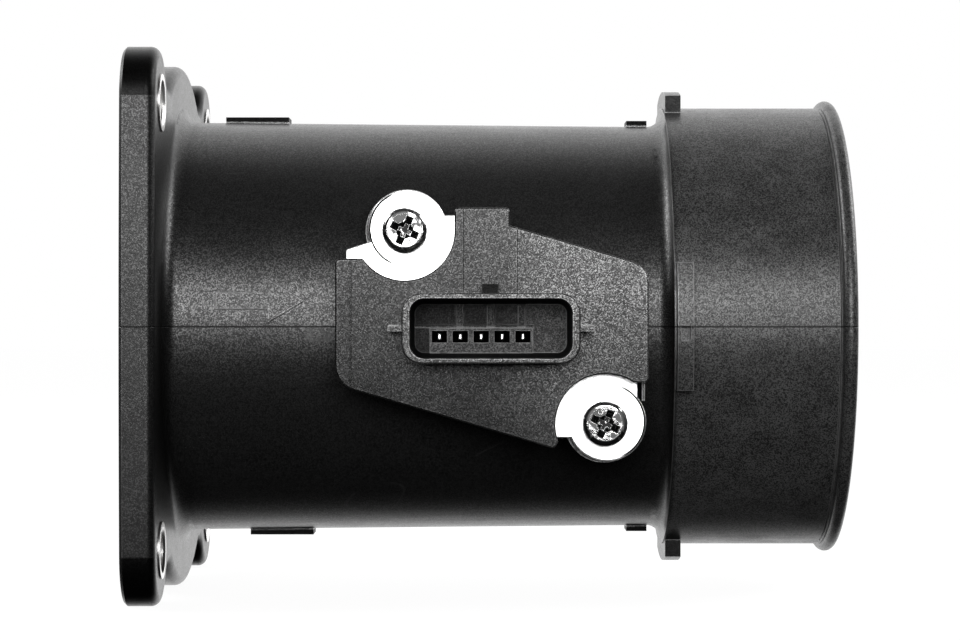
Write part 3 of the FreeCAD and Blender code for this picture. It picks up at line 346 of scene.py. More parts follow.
# Flange bushes and seal
# Steel sleeves pressed into the four bolt holes take the bolts' load. A square-backed rubber ring
# with two lips sits in the groove of the flange face.
BOLT_Y, BOLT_Z = 38.7 * MM, 38.1 * MM
SEAL_R = 40.5 * MM
SEAL_W = 2.6 * MM
SEAL_DEPTH = 2.0 * MM
LIP_VALLEY = 0.55 * MM
SEAL_STEPS = 180
bush_steel = Finish("zinc_plated_steel", Metallic=1.0)
across = abs(bush_steel.y) - BOLT_Y
upwards = abs(bush_steel.z) - BOLT_Z
from_bolt = (across * across + upwards * upwards).root()
turning = bush_steel.noise(0.08 * MM, 1.0, 0.5, bush_steel.node("ShaderNodeCombineXYZ", {}, {0: from_bolt}))
bloom = bush_steel.noise(1.6 * MM, 4.0, 0.6)
bush_steel.set(
    Base_Color=bush_steel.mix(bloom, grey(0.55, 0.01), grey(0.8, 0.01)),
    Roughness=0.2 + 0.16 * turning + 0.14 * bloom,
    Normal=bush_steel.relief(turning, 0.012 * MM, bush_steel.eased_edges(0.15 * MM)),
)
dress("flange_bushes", bush_steel)

rubber = Finish("seal_rubber", Specular_IOR_Level=0.4)
dust = rubber.noise(0.9 * MM, 5.0, 0.7).rise(0.4, 0.75)
rubber.set(
    Base_Color=rubber.mix(dust, grey(0.016), grey(0.05)),
    Roughness=0.5 + 0.2 * dust,
    Normal=rubber.relief(rubber.noise(0.12 * MM, 2.0), 0.01 * MM),
)
dress("probe_seal", rubber)


def turned_ring(profile, steps):
    """A closed ring about the X axis from a loop of (x, r) points."""
    shape = bmesh.new()
    loops = []
    for i in range(steps):
        turn = 2 * math.pi * i / steps
        loops.append([shape.verts.new((x, r * math.cos(turn), r * math.sin(turn))) for x, r in profile])
    for i, loop in enumerate(loops):
        after = loops[(i + 1) % steps]
        for j in range(len(profile)):
            k = (j + 1) % len(profile)
            shape.faces.new((loop[j], loop[k], after[k], after[j]))
    bmesh.ops.recalc_face_normals(shape, faces=shape.faces)
    return shape


def lip_height(share):
    """The seal's face across its width: two rounded lips with a valley between them."""
    return 0.5 * LIP_VALLEY * (1 + math.cos(4 * math.pi * share))


LIP_POINTS = 24
seal_profile = [(SEAL_DEPTH, SEAL_R + SEAL_W / 2), (SEAL_DEPTH, SEAL_R - SEAL_W / 2)]
for i in range(LIP_POINTS + 1):
    share = i / LIP_POINTS
    seal_profile.append((lip_height(share), SEAL_R + (share - 0.5) * SEAL_W))
lipped_seal = piece_from(turned_ring(seal_profile, SEAL_STEPS), "lipped_flange_seal", rubber, 50)
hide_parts("flange_seal")
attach(lipped_seal, "root")

# Inlet screen
# Thirty stainless wires are woven square in a plastic rim, and an open spring ring holds the rim
# in the duct's mouth. The wires pass over and under each other and end in the rim's groove.
SCREEN_X = 3.8 * MM
SCREEN_REACH = 34.65 * MM
SCREEN_PITCH = 4.4 * MM
WIRE_D = 0.5 * MM
WIRES_EACH_WAY = 15


class Builder(Shading):
    """A Geometry Nodes tree with a named input for each size."""

    def __init__(self, name, **sizes):
        super().__init__(bpy.data.node_groups.new(name, "GeometryNodeTree"))
        for direction in ("INPUT", "OUTPUT"):
            self.tree.interface.new_socket("Geometry", in_out=direction, socket_type="NodeSocketGeometry")
        self.sizes = {}
        for size, value in sizes.items():
            whole = isinstance(value, int)
            kind = "NodeSocketInt" if whole else "NodeSocketFloat"
            socket = self.tree.interface.new_socket(size, in_out="INPUT", socket_type=kind)
            self.sizes[socket.identifier] = value
        self.start = self.tree.nodes.new("NodeGroupInput")
        self.point = self.node("GeometryNodeInputPosition", {}, {})
        self.x, self.y, self.z = (self.node("ShaderNodeSeparateXYZ", {}, {0: self.point}, axis)
                                  for axis in "XYZ")

    def size(self, name):
        return Value(self, self.start.outputs[name])

    def vector(self, x=0.0, y=0.0, z=0.0):
        return self.node("ShaderNodeCombineXYZ", {}, {"X": x, "Y": y, "Z": z})

    def moved(self, geometry, place=None, offset=None):
        """Sets each point's place, or shifts it."""
        inputs = {"Geometry": geometry}
        if place:
            inputs["Position"] = place
        if offset:
            inputs["Offset"] = offset
        return self.node("GeometryNodeSetPosition", {}, inputs)

    def joined(self, *pieces):
        together = self.tree.nodes.new("GeometryNodeJoinGeometry")
        for piece in pieces:
            self.tree.links.new(piece.socket, together.inputs[0])
        return Value(self, together.outputs[0])

    def grow(self, name, geometry, finish, base=None, smooth_below=35):
        """Ends the tree, runs it once on the base mesh and keeps the result as a plain object."""
        real = self.node("GeometryNodeRealizeInstances", {}, {0: geometry})
        dressed = self.node("GeometryNodeSetMaterial", {}, {"Geometry": real, "Material": finish.material})
        end = self.tree.nodes.new("NodeGroupOutput")
        self.tree.links.new(dressed.socket, end.inputs["Geometry"])
        piece = bpy.data.objects.new(name, base or bpy.data.meshes.new(name))
        bpy.context.scene.collection.objects.link(piece)
        grower = piece.modifiers.new(name, "NODES")
        grower.node_group = self.tree
        for identifier, value in self.sizes.items():
            grower[identifier] = value
        evaluated = piece.evaluated_get(bpy.context.evaluated_depsgraph_get())
        mesh = bpy.data.meshes.new_from_object(evaluated)
        piece.modifiers.clear()
        piece.data = mesh
        mesh.shade_smooth()
        mesh.set_sharp_from_angle(angle=math.radians(smooth_below))
        return piece


wire_steel = Finish("drawn_wire", Metallic=1.0)
drawn = wire_steel.noise(0.7 * MM, 4.0, 0.65)
wire_steel.set(
    Base_Color=wire_steel.mix(drawn, grey(0.42, 0.01), grey(0.66, 0.01)),
    Roughness=0.24 + 0.2 * drawn,
    Normal=wire_steel.relief(wire_steel.noise(0.1 * MM), 0.004 * MM),
)
weave = Builder("woven_screen", Middle=SCREEN_X, Reach=SCREEN_REACH, Pitch=SCREEN_PITCH,
                Thickness=WIRE_D, Wires=WIRES_EACH_WAY)
first_place = 0 - weave.size("Pitch") * (weave.size("Wires") - 1) * 0.5
straight = weave.node("GeometryNodeCurvePrimitiveLine", {}, {"Start": (0, 0, -1), "End": (0, 0, 1)})
straight = weave.node("GeometryNodeResampleCurve", {}, {"Curve": straight, "Count": 129})
row = weave.node("GeometryNodeMeshLine", {}, {
    "Count": weave.size("Wires"), "Start Location": weave.vector(0.0, first_place),
    "Offset": weave.vector(0.0, weave.size("Pitch"))})
rim_gap = abs(weave.y) + 0.5 * weave.size("Thickness")
half_length = (weave.size("Reach") * weave.size("Reach") - rim_gap * rim_gap).root()
uprights = weave.node("GeometryNodeInstanceOnPoints", {}, {
    "Points": row, "Instance": straight, "Scale": weave.vector(1.0, 1.0, half_length)})
uprights = weave.node("GeometryNodeRealizeInstances", {}, {0: uprights})
wave = 0.5 * weave.size("Thickness") * weave.y.wave(2 * SCREEN_PITCH) * weave.z.wave(2 * SCREEN_PITCH)
layers = [weave.moved(uprights, offset=weave.vector(wave))]
levels = weave.node("GeometryNodeTransform", {}, {
    "Geometry": uprights, "Rotation": (math.radians(90), 0, 0)})
layers.append(weave.moved(levels, offset=weave.vector(0 - wave)))
round_wire = weave.node("GeometryNodeCurvePrimitiveCircle", {}, {
    "Resolution": 8, "Radius": 0.5 * weave.size("Thickness")})
mesh_wires = weave.node("GeometryNodeCurveToMesh", {}, {
    "Curve": weave.moved(weave.joined(*layers), offset=weave.vector(weave.size("Middle"))),
    "Profile Curve": round_wire, "Fill Caps": True})
woven_screen = weave.grow("woven_screen", mesh_wires, wire_steel)
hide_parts("inlet_screen")
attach(woven_screen, "root")
spring_steel = Finish("spring_steel", Metallic=1.0)
blueing = spring_steel.noise(3 * MM, 3.0)
pitted = spring_steel.noise(0.15 * MM)
spring_steel.set(
    Base_Color=spring_steel.mix(blueing, grey(0.38, -0.03), grey(0.6, 0.02)),
    Roughness=0.26 + 0.14 * spring_steel.noise(0.5 * MM, 4.0),
    Normal=spring_steel.relief(pitted, 0.005 * MM, spring_steel.eased_edges(0.15 * MM)),
)
dress("spring_ring", spring_steel)

# Base plate
# A stamped aluminium plate under the cover. Only its two ears show, one round each screw. The press
# has rounded their upper edge. A fine dark line inside it, on the side away from the cover, is painted
# shade.
PLATE_EDGE = 0.22 * MM
UPPER_EAR = (48.0 * MM, 16.5 * MM)
LOWER_EAR = (81.8 * MM, -16.1 * MM)
EAR_R = 6.65 * MM
SHADE_LINE_INSET = 0.32 * MM
aluminium = Finish("stamped_aluminium", Metallic=1.0)
rolled = aluminium.noise(0.16 * MM, 3.0, 0.6, aluminium.stretched(0.12, 1.0, 1.0))
handled = aluminium.noise(2.4 * MM, 5.0, 0.65)
nick = aluminium.hairlines(4 * MM, 0.02) * aluminium.noise(3 * MM).rise(0.5, 0.6)
lower_ear, out_x, from_ear = aluminium.from_pair(UPPER_EAR, LOWER_EAR)
# Painted shade: a fine dark line just inside each ear's rounded edge, on the side away from the cover
edge_shade_line = (from_ear.near(EAR_R - SHADE_LINE_INSET, 0.12 * MM, 0.05 * MM)
          * (out_x * (2 * lower_ear - 1)).rise(1.5 * MM, 3.5 * MM))
bare = aluminium.mix(handled, grey(0.8), grey(0.92))
aluminium.set(
    Base_Color=aluminium.mix(edge_shade_line, bare, grey(0.006)),
    Roughness=0.26 + 0.12 * rolled + 0.1 * handled + 0.15 * nick + 0.3 * edge_shade_line,
    Normal=aluminium.relief(rolled + nick, 0.006 * MM),
)


def eased_copy(node, name, finish, width, segments=2):
    """A solid's copy with its sharp edges rounded in the mesh."""
    shape = bmesh.new()
    shape.from_mesh(nodes[node].data)
    bmesh.ops.remove_doubles(shape, verts=shape.verts, dist=0.001 * MM)
    bmesh.ops.dissolve_limit(shape, angle_limit=math.radians(0.5), verts=shape.verts, edges=shape.edges)
    piece = piece_from(shape, name, finish)
    rounding = piece.modifiers.new("rounding", "BEVEL")
    rounding.width = width
    rounding.segments = segments
    rounding.limit_method = "ANGLE"
    rounding.angle_limit = math.radians(40)
    rounding.use_clamp_overlap = False
    rounding.harden_normals = True
    evaluated = piece.evaluated_get(bpy.context.evaluated_depsgraph_get())
    mesh = bpy.data.meshes.new_from_object(evaluated)
    piece.modifiers.clear()
    piece.data = mesh
    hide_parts(node)
    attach(piece, "root")
    return piece


stamped_plate = eased_copy("base_plate", "stamped_plate", aluminium, PLATE_EDGE)

# Module cover
# A dark grey moulding that closes the module and carries the five-way socket. A low plateau runs
# from its tab down to the socket, and its two step edges carry a painted highlight. Its face bows out
# slightly. Its left half is painted darker as shade, and so are the socket's inside and its cells.
COVER_TOP = -46.0 * MM
PLATEAU_LEFT, PLATEAU_RIGHT = 57.45 * MM, 66.5 * MM
PLATEAU_FOOT = 5.4 * MM
STEP_WIDTH = 0.12 * MM
STEP_HEIGHT = 0.16 * MM
SHUT_LINE_X = 38.6 * MM
SOCKET_X, SOCKET_Z = 62.1 * MM, -0.3 * MM
SOCKET_HALF_X, SOCKET_HALF_Z = 13.3 * MM, 4.9 * MM
SOCKET_RIM = -58.0 * MM
CELLS_X, CELLS_Z = 60.5 * MM, -1.7 * MM
CELLS_HALF_X, CELLS_HALF_Z = 8.28 * MM, 0.98 * MM
CELL_TOP = -47.0 * MM
BOW_R = 0.6
LEFT_SHADE_START, LEFT_SHADE_END = 62 * MM, 74 * MM
cover = moulded("grey_moulding", level=0.018, glint_level=0.105, roughness=0.28, shine=0.14)
on_face = cover.y.near(COVER_TOP, 0.2 * MM, 0.1 * MM)
above_foot = cover.z.rise(PLATEAU_FOOT - STEP_WIDTH, PLATEAU_FOOT) * on_face
plateau = (cover.x.rise(PLATEAU_LEFT, PLATEAU_LEFT + STEP_WIDTH)
           * cover.x.rise(PLATEAU_RIGHT + STEP_WIDTH, PLATEAU_RIGHT) * above_foot)
# Painted highlight: the plateau's two step edges are painted lighter, as if catching the light
step_highlight = above_foot * (cover.x.near(PLATEAU_LEFT, 0.05 * MM, 0.08 * MM)
                           + cover.x.near(PLATEAU_RIGHT, 0.05 * MM, 0.08 * MM))
shut_line = cover.x.near(SHUT_LINE_X, 0.05 * MM, 0.1 * MM) * on_face
# Painted shade: the socket's inside is painted darker, its walls darker still, and its pin cells nearly
# black
in_socket = (cover.x.near(SOCKET_X, SOCKET_HALF_X, 0.1 * MM)
             * cover.z.near(SOCKET_Z, SOCKET_HALF_Z, 0.1 * MM)
             * cover.y.rise(SOCKET_RIM + 0.1 * MM, SOCKET_RIM + 3 * MM))
on_walls = in_socket * cover.y.rise(CELL_TOP - 0.1 * MM, CELL_TOP - 0.3 * MM)
in_cell = (cover.x.near(CELLS_X, CELLS_HALF_X, 0.05 * MM) * cover.z.near(CELLS_Z, CELLS_HALF_Z, 0.05 * MM)
           * cover.y.rise(CELL_TOP + 0.1 * MM, CELL_TOP + 0.8 * MM))
bowed = cover.relief(0 - cover.z * cover.z, 0.5 / BOW_R, cover.grain)
# Painted shade: the face is painted darker towards the left
painted_left_shade = cover.x.rise(LEFT_SHADE_END, LEFT_SHADE_START) * on_face
shaded = cover.mix(0.2 * step_highlight, cover.skin, grey(0.2))
shaded = cover.mix(0.55 * painted_left_shade + 0.2 * in_socket + 0.7 * on_walls, shaded, grey(0.003))
cover.set(
    # The pin cells are painted black as shade
    Base_Color=cover.mix(0.95 * in_cell, shaded, grey(0.0)),
    Metallic=cover.glint.most(0.6 * painted_left_shade).most(0.6 * on_walls),
    Roughness=cover.matt + 0.25 * in_socket + 0.2 * on_walls + 0.3 * in_cell,
    Normal=cover.relief(plateau - 0.2 * shut_line, STEP_HEIGHT, bowed),
)
dress("module_cover", cover)

# Cover screws
# Two pan-head machine screws with a cross recess and a small dot beside it, at opposite corners.
# Each is one cold-headed piece with a rolled thread, and they stand half a turn apart.
SCREW_PLACES = [(47.6 * MM, 16.2 * MM, 66.0), (81.4 * MM, -16.4 * MM, 246.0)]
PLATE_TOP = -42.0 * MM
HEAD_TOP = -44.6 * MM
CROSS_TOP_R, CROSS_FLOOR_R = 2.5 * MM, 1.2 * MM
CROSS_TOP_W, CROSS_FLOOR_W = 1.25 * MM, 0.8 * MM
CROSS_DEPTH = 1.9 * MM
CROSS_CONE_R = 1.45 * MM
DOT_R, DOT_DEPTH = 0.42 * MM, 0.25 * MM
DOT_PLACE = 2.25 * MM
DOT_ANGLE = math.radians(225)
LAND_R = 2.87 * MM
screws = Builder("cover_screws", Head_Radius=3.8 * MM, Head_Height=2.6 * MM, Crown=0.9 * MM,
                 Land_Step=0.06 * MM, Shank_Length=9.4 * MM, Thread_Radius=2.0 * MM, Thread_Depth=0.3 * MM,
                 Pitch=0.7 * MM)
screw_steel = Finish("plated_screw_steel", Metallic=1.0)
tumbled = screw_steel.noise(0.5 * MM, 5.0, 0.7)
rubbed = screw_steel.noise(1.8 * MM, 4.0, 0.6)
from_middle = screw_steel.from_pair(*SCREW_PLACES)[2]
# Painted shade: the recess and a fine ring at the land's step are painted dark and rougher. The random
# smudges are dirt, and the worn rim edges stay bare
in_recess = (from_middle.rise(2.8 * MM, 2.7 * MM)
             * screw_steel.y.rise(HEAD_TOP + 0.06 * MM, HEAD_TOP + 0.4 * MM)
             * screw_steel.noise(0.5 * MM, 3.0).rise(0.28, 0.44))
smudge = 0.9 * screw_steel.noise(2.6 * MM, 2.0, 0.5).rise(0.5, 0.54)
worn_edge = screw_steel.edge_wear(screw_steel.eased_edges(0.16 * MM)) * from_middle.rise(3 * MM, 2.8 * MM)
round_land = from_middle.near(LAND_R, 0.03 * MM, 0.07 * MM)
grime_and_shade = round_land.most(in_recess).most(smudge) * (1 - 0.9 * worn_edge)
plating = screw_steel.mix(rubbed, grey(0.5), grey(0.75))
screw_steel.set(
    Base_Color=screw_steel.mix(0.97 * grime_and_shade, plating, grey(0.004)),
    Roughness=0.07 + 0.06 * tumbled + 0.06 * rubbed + 0.4 * grime_and_shade,
    Normal=screw_steel.relief(rubbed + 0.4 * tumbled, 0.05 * MM, screw_steel.eased_edges(0.08 * MM)),
)
# Head: a tube of rings whose places follow the side, the crown's arc and a fine step to the top
blank = screws.node("GeometryNodeMeshCylinder", {}, {
    "Vertices": 96, "Side Segments": 16, "Radius": 1.0, "Depth": 1.0})
rise_share = screws.z + 0.5
arc = ((rise_share - 0.5) / (7 / 16)).most(0.0).least(1.0) * (math.pi / 2)
on_top = screws.math("GREATER_THAN", rise_share, 0.97)
crown = screws.size("Crown")
head_r = (screws.size("Head_Radius") - crown * (1 - screws.math("COSINE", arc))
          - on_top * screws.size("Land_Step"))
head_z = ((2 * rise_share).least(1.0) * (screws.size("Head_Height") - crown - screws.size("Land_Step"))
          + crown * screws.math("SINE", arc) + on_top * screws.size("Land_Step"))
head = screws.moved(blank, place=screws.vector(screws.x * head_r, screws.y * head_r, head_z))
# Recess: two tapered bars crossed over a cone, and the dot
OVERCUT = 0.1
bar = screws.node("GeometryNodeMeshCube", {}, {"Size": (1.0, 1.0, 1.0)})
lift = (screws.z + 0.5) * (1 + OVERCUT)
bar_x = screws.x * 2 * (CROSS_FLOOR_R + (CROSS_TOP_R - CROSS_FLOOR_R) * lift)
bar_y = screws.y * (CROSS_FLOOR_W + (CROSS_TOP_W - CROSS_FLOOR_W) * lift)
recess_foot = screws.size("Head_Height") - CROSS_DEPTH
bar = screws.moved(bar, place=screws.vector(bar_x, bar_y, recess_foot + CROSS_DEPTH * lift))
crossed = screws.node("GeometryNodeTransform", {}, {"Geometry": bar, "Rotation": (0, 0, math.radians(90))})
cone = screws.node("GeometryNodeMeshCone", {}, {
    "Vertices": 48, "Radius Top": CROSS_CONE_R + OVERCUT * MM, "Radius Bottom": 0.5 * CROSS_FLOOR_W,
    "Depth": CROSS_DEPTH * (1 + OVERCUT)})
cone = screws.moved(cone, offset=screws.vector(z=recess_foot))
dot = screws.node("GeometryNodeMeshCylinder", {}, {"Vertices": 32, "Radius": DOT_R, "Depth": 2 * DOT_DEPTH})
dot = screws.moved(dot, offset=screws.vector(
    DOT_PLACE * math.cos(DOT_ANGLE), DOT_PLACE * math.sin(DOT_ANGLE), screws.size("Head_Height")))
head = screws.node("GeometryNodeMeshBoolean", {"operation": "DIFFERENCE", "solver": "EXACT"}, {
    "Mesh 1": head, "Mesh 2": screws.joined(bar, crossed, cone, dot), "Self Intersection": True})
# Thread: the shank's surface rises and falls along a helix
shank = screws.node("GeometryNodeMeshCylinder", {}, {
    "Vertices": 24, "Side Segments": 120, "Radius": 1.0, "Depth": 1.0})
shank_z = (screws.z - 0.5) * screws.size("Shank_Length")
helix = shank_z / screws.size("Pitch") - screws.math("ARCTAN2", screws.y, screws.x) / (2 * math.pi)
groove = screws.math("PINGPONG", helix, 0.5) * 2 * screws.size("Thread_Depth")
thread_r = screws.size("Thread_Radius") - groove
shank = screws.moved(shank, place=screws.vector(screws.x * thread_r, screws.y * thread_r, shank_z))
places = bpy.data.meshes.new("screw_places")
places.from_pydata([(x, PLATE_TOP, z) for x, z, turn in SCREW_PLACES], [], [])
turns = places.attributes.new("turn", "FLOAT", "POINT")
for i, (x, z, turn) in enumerate(SCREW_PLACES):
    turns.data[i].value = -math.radians(turn)
turn = screws.node("GeometryNodeInputNamedAttribute", {"data_type": "FLOAT"}, {"Name": "turn"})
placed = screws.node("GeometryNodeInstanceOnPoints", {}, {
    "Points": Value(screws, screws.start.outputs["Geometry"]), "Instance": screws.joined(head, shank),
    "Rotation": screws.vector(math.radians(90), turn, 0.0)})
pan_head_screws = screws.grow("pan_head_screws", placed, screw_steel, places, 30)
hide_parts("cover_screws")
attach(pan_head_screws, "root")
brass = Finish("turned_brass", Metallic=1.0)
tarnish = brass.noise(1.5 * MM, 4.0)
knurl = brass.noise(0.35 * MM, 1.0, 0.5, brass.stretched(1.0, 0.25, 1.0))
brass.set(
    Base_Color=brass.mix(tarnish, (0.62, 0.44, 0.2, 1), (0.78, 0.6, 0.32, 1)),
    Roughness=0.22 + 0.2 * tarnish,
    Normal=brass.relief(knurl, 0.08 * MM),
)
dress("thread_inserts", brass)

# Contact pins
# Five flat tinned pins that run from the socket's cells down to the board. Drawing them has left
# fine marks along their length.
tin = Finish("tin_plate", Metallic=1.0)
wiped = tin.noise(0.3 * MM, 4.0, 0.65, tin.stretched(1.0, 0.3, 1.0))
tin.set(
    Base_Color=tin.mix(wiped, grey(0.72, 0.015), grey(0.9, 0.01)),
    Roughness=0.2 + 0.18 * wiped,
    Normal=tin.relief(wiped, 0.006 * MM, tin.eased_edges(0.06 * MM)),
)
for i in range(5):
    dress(f"contact_pin_{i + 1}", tin)

# Probe
# A smooth black moulding that hangs in the air stream, with the measuring passage through its end.
# A lid closes the board's pocket, and a rubber ring seals the collar.
probe = moulded("probe_moulding", level=0.01, glint_level=0.05, roughness=0.34, shine=0.3)
for node in ("probe_body", "probe_lid", "screen_frame"):
    dress(node, probe)

# Circuit board
# A fired alumina plate with printed silver tracks, and the parts soldered to it: a chip, three
# laser-trimmed resistors and two capacitors. Clear soft gel covers them.
PIN_FIRST_X, PIN_PITCH = 53.5 * MM, 3.5 * MM
TRACK_HALF = 0.28 * MM
PAST_CHIP = -27.0 * MM
alumina = Finish("fired_alumina", Specular_IOR_Level=0.5)
fired = alumina.noise(0.6 * MM, 4.0)
track_place = alumina.math("PINGPONG", alumina.x - PIN_FIRST_X, 0.5 * PIN_PITCH)
below_pins = alumina.y.rise(PAST_CHIP, PAST_CHIP - 0.1 * MM)
cross_track = alumina.math("PINGPONG", alumina.y + 13.5 * MM, 1.2 * MM).rise(TRACK_HALF, 0.8 * TRACK_HALF)
track = below_pins * track_place.rise(TRACK_HALF, 0.8 * TRACK_HALF) + (1 - below_pins) * cross_track
alumina.set(
    Base_Color=alumina.mix(0.8 * track, alumina.mix(fired, grey(0.74, 0.02), grey(0.84, 0.02)), grey(0.55)),
    Roughness=0.5 - 0.15 * track + 0.1 * fired,
    Metallic=0.8 * track,
    Normal=alumina.relief(track, 0.02 * MM),
)
dress("circuit_board", alumina)
resin = Finish("moulded_resin")
frosted = resin.noise(0.1 * MM, 3.0)
resin.set(
    Base_Color=resin.mix(frosted, grey(0.018), grey(0.045)),
    Roughness=0.45 + 0.2 * frosted,
    Normal=resin.relief(frosted, 0.01 * MM, resin.eased_edges(0.1 * MM)),
)
dress("control_chip", resin)
TRIM_MIDDLE_X, TRIM_CAP_FROM = 65.5 * MM, 1.1 * MM
resistor = Finish("printed_resistor")
end_cap = abs(resistor.x - TRIM_MIDDLE_X).rise(TRIM_CAP_FROM, TRIM_CAP_FROM + 0.05 * MM)
trim_cut = resistor.x.near(TRIM_MIDDLE_X + 0.2 * MM, 0.03 * MM, 0.04 * MM)
resistor.set(
    Base_Color=resistor.mix(end_cap, resistor.mix(trim_cut, grey(0.02), grey(0.3)), grey(0.75)),
    Roughness=0.35 + 0.15 * resistor.noise(0.2 * MM, 3.0),
    Metallic=end_cap,
    Normal=resistor.relief(end_cap - trim_cut, 0.03 * MM),
)
dress("trim_resistors", resistor)
CAPACITOR_Y, CAPACITOR_CAP_FROM = -27.8 * MM, 1.1 * MM
ceramic = Finish("capacitor_ceramic")
solder = abs(ceramic.y - CAPACITOR_Y).rise(CAPACITOR_CAP_FROM, CAPACITOR_CAP_FROM + 0.08 * MM)
speckle = ceramic.noise(0.15 * MM, 3.0)
fired_brown = ceramic.mix(speckle, (0.3, 0.19, 0.1, 1), (0.5, 0.36, 0.22, 1))
ceramic.set(
    Base_Color=ceramic.mix(solder, fired_brown, grey(0.8)),
    Roughness=0.3 + 0.2 * speckle,
    Metallic=solder,
    Normal=ceramic.relief(speckle + solder, 0.015 * MM),
)
dress("capacitors", ceramic)
gel = Finish("clear_gel", Transmission_Weight=0.9, IOR=1.41)
ripple = gel.noise(3 * MM, 2.0)
gel.set(
    Base_Color=gel.mix(ripple, (0.84, 0.88, 0.86, 1), (0.93, 0.95, 0.94, 1)),
    Roughness=0.06 + 0.08 * ripple,
    Normal=gel.relief(ripple, 0.1 * MM),
)
dress("potting_gel", gel)

# Sensing elements
# A hot wire and a compensation wire stand in the passage between pairs of nickel posts. Fine
# platinum wire is wound on a ceramic former and glazed over. A bead upstream feels the air's heat.
PASSAGE_Z = -2.5 * MM
ELEMENT_XS = (58.0 * MM, 63.5 * MM)
nickel = Finish("nickel_post", Metallic=1.0)
pulled = nickel.noise(0.2 * MM, 3.0, 0.6, nickel.stretched(1.0, 0.1, 1.0))
nickel.set(
    Base_Color=nickel.mix(pulled, (0.5, 0.48, 0.44, 1), (0.7, 0.68, 0.63, 1)),
    Roughness=0.22 + 0.15 * pulled,
    Normal=nickel.relief(pulled, 0.004 * MM),
)
dress("element_posts", nickel)
COAT_HALF = 1.0 * MM
glaze = Finish("glazed_former", Coat_Roughness=0.05)
on_lead = abs(glaze.z - PASSAGE_Z).rise(COAT_HALF, COAT_HALF + 0.02 * MM)
crackle = glaze.noise(0.25 * MM, 3.0)
glaze.set(
    Base_Color=glaze.mix(on_lead, glaze.mix(crackle, grey(0.62, 0.03), grey(0.8, 0.02)), grey(0.75)),
    Roughness=0.22 + 0.1 * crackle,
    Metallic=on_lead,
    Coat_Weight=0.8 * (1 - on_lead),
    Normal=glaze.relief(crackle, 0.004 * MM),
)
for node in ("hot_wire", "compensation_wire"):
    dress(node, glaze)
winding = Builder("element_winding", Middle_Z=PASSAGE_Z, Coil_Radius=0.46 * MM, Coil_Length=1.8 * MM,
                  Turns=18, Wire_Radius=0.025 * MM)
coil = winding.node("GeometryNodeCurveSpiral", {}, {
    "Resolution": 20, "Rotations": winding.size("Turns"), "Start Radius": winding.size("Coil_Radius"),
    "End Radius": winding.size("Coil_Radius"), "Height": winding.size("Coil_Length")})
coil_foot = winding.size("Middle_Z") - 0.5 * winding.size("Coil_Length")
coil = winding.moved(coil, offset=winding.vector(z=coil_foot))
fine_wire = winding.node("GeometryNodeCurvePrimitiveCircle", {}, {
    "Resolution": 5, "Radius": winding.size("Wire_Radius")})
coil = winding.node("GeometryNodeCurveToMesh", {}, {
    "Curve": coil, "Profile Curve": fine_wire, "Fill Caps": True})
formers = bpy.data.meshes.new("former_places")
formers.from_pydata([(x, 0, 0) for x in ELEMENT_XS], [], [])
coils = winding.node("GeometryNodeInstanceOnPoints", {}, {
    "Points": Value(winding, winding.start.outputs["Geometry"]), "Instance": coil})
platinum = Finish("platinum_wire", Metallic=1.0)
platinum.set(
    Base_Color=platinum.mix(platinum.noise(0.3 * MM), grey(0.6, 0.03), grey(0.78, 0.02)),
    Roughness=0.2 + 0.1 * platinum.noise(0.1 * MM),
)
windings = winding.grow("platinum_windings", coils, platinum, formers)
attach(windings, "root")
BEAD_END = 45.7 * MM
bead = Finish("thermistor_bead")
bare_lead = bead.x.rise(BEAD_END, BEAD_END + 0.05 * MM)
dipped = bead.noise(0.8 * MM, 3.0)
bead.set(
    Base_Color=bead.mix(bare_lead, bead.mix(dipped, grey(0.03, 0.1), grey(0.07, 0.1)), grey(0.7)),
    Roughness=0.18 + 0.14 * dipped,
    Metallic=bare_lead,
    Normal=bead.relief(dipped, 0.05 * MM, bead.eased_edges(0.3 * MM)),
)
dress("air_temperature_sensor", bead)

# Stage
# A pale floor and a white studio around it. What the camera sees behind the object is white.
FLOOR_SIZE = 8.0
GLOW, GLOW_SHARE = 1.06, 0.9
floor_mesh = bpy.data.meshes.new("floor")
edge = FLOOR_SIZE / 2
floor_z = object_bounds()[0][2]
floor_mesh.from_pydata([(-edge, -edge, floor_z), (edge, -edge, floor_z), (edge, edge, floor_z),
                        (-edge, edge, floor_z)], [], [(0, 1, 2, 3)])
floor = bpy.data.objects.new("floor", floor_mesh)
bpy.context.scene.collection.objects.link(floor)
floor_finish = Finish("pale_floor", Base_Color=grey(0.8), Roughness=0.9, Specular_IOR_Level=0.1)
seen = floor_finish.node("ShaderNodeLightPath", {}, {}, "Is Camera Ray")
glow = floor_finish.node("ShaderNodeEmission", {}, {"Color": grey(1.0), "Strength": GLOW})
lit = Value(floor_finish, floor_finish.shader.outputs[0])
blended = floor_finish.node("ShaderNodeMixShader", {}, {0: GLOW_SHARE * seen, 1: lit, 2: glow})
floor_finish.feed(floor_finish.tree.nodes["Material Output"].inputs["Surface"], blended)
floor_mesh.materials.append(floor_finish.material)
# The floor takes the object's shadow but throws no light up at it
floor.visible_diffuse = False
floor.visible_glossy = False
floor.visible_shadow = False

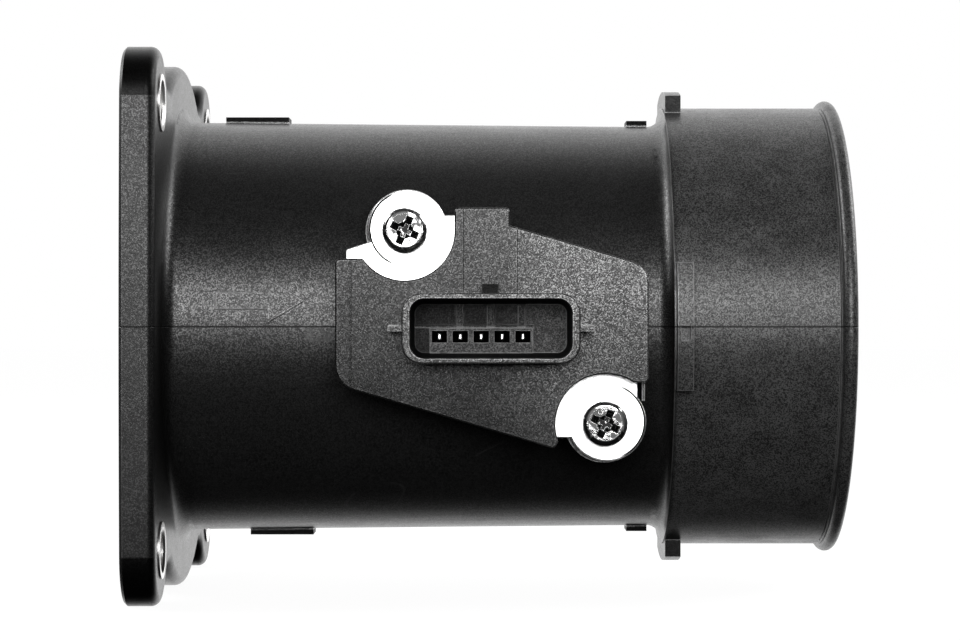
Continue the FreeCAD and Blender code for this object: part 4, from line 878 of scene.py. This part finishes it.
# World: white where the camera looks past the object, a bright wall behind it for reflections,
# and a soft even level for everything else.
world = bpy.data.worlds.new("studio")
world.use_nodes = True
bpy.context.scene.world = world
studio = Shading(world.node_tree)
towards = studio.node("ShaderNodeTexCoord", {}, {}, "Generated")
back = studio.node("ShaderNodeSeparateXYZ", {}, {0: towards}, "Y")
up = studio.node("ShaderNodeSeparateXYZ", {}, {0: towards}, "Z")
FILL, OVERHEAD, WALL = 0.004, 0.05, 1.6
WALL_START, WALL_END = 0.12, 0.66
FLOOR_CUT = 0.6
# The wall fades out below the horizon
wall = (back + FLOOR_CUT * up.least(0.0)).rise(WALL_START, WALL_END)
camera_ray = studio.node("ShaderNodeLightPath", {}, {}, "Is Camera Ray")
level = camera_ray + (1 - camera_ray) * (FILL + OVERHEAD * up.most(0.0) + WALL * wall)
background = world.node_tree.nodes["Background"]
background.inputs["Color"].default_value = grey(1.0)
studio.feed(background.inputs["Strength"], level)


def soft_box(name, place, aim, width, height, watts):
    """A rectangular studio lamp that faces a point."""
    data = bpy.data.lights.new(name, "AREA")
    data.shape = "RECTANGLE"
    data.size = width
    data.size_y = height
    data.energy = watts
    lamp = bpy.data.objects.new(name, data)
    lamp.location = place
    lamp.rotation_euler = (Vector(aim) - Vector(place)).to_track_quat("-Z", "Y").to_euler()
    bpy.context.scene.collection.objects.link(lamp)
    return lamp


# A wide box in front lights the face, and one at each end lights the coves and the rims
DUCT_MIDDLE = (0.06, 0.0, 0.0)
KEY_WATTS, END_WATTS = 7.2, 5.5
soft_box("key_box", (0.06, -0.85, 0.194), DUCT_MIDDLE, width=0.62, height=0.37, watts=KEY_WATTS)
soft_box("left_box", (-0.6, 0.08, 0.4), DUCT_MIDDLE, width=0.5, height=0.36, watts=END_WATTS)
soft_box("right_box", (0.72, 0.08, 0.4), DUCT_MIDDLE, width=0.5, height=0.36, watts=END_WATTS)

# Camera
# It stands square to the duct's side, level with the axis, as the photograph does.
CAMERA_X = 60.3 * MM
CAMERA_DISTANCE = 504 * MM
CAMERA_Z = 1.1 * MM
LENS_MM = 102.45
camera_data = bpy.data.cameras.new("camera")
camera_data.lens = LENS_MM
camera_data.sensor_width = 36.0
camera = bpy.data.objects.new("camera", camera_data)
camera.location = (CAMERA_X, -CAMERA_DISTANCE, CAMERA_Z)
camera.rotation_euler = (math.radians(90), 0, 0)
bpy.context.scene.collection.objects.link(camera)
bpy.context.scene.camera = camera
bpy.context.scene.view_settings.view_transform = "Standard"
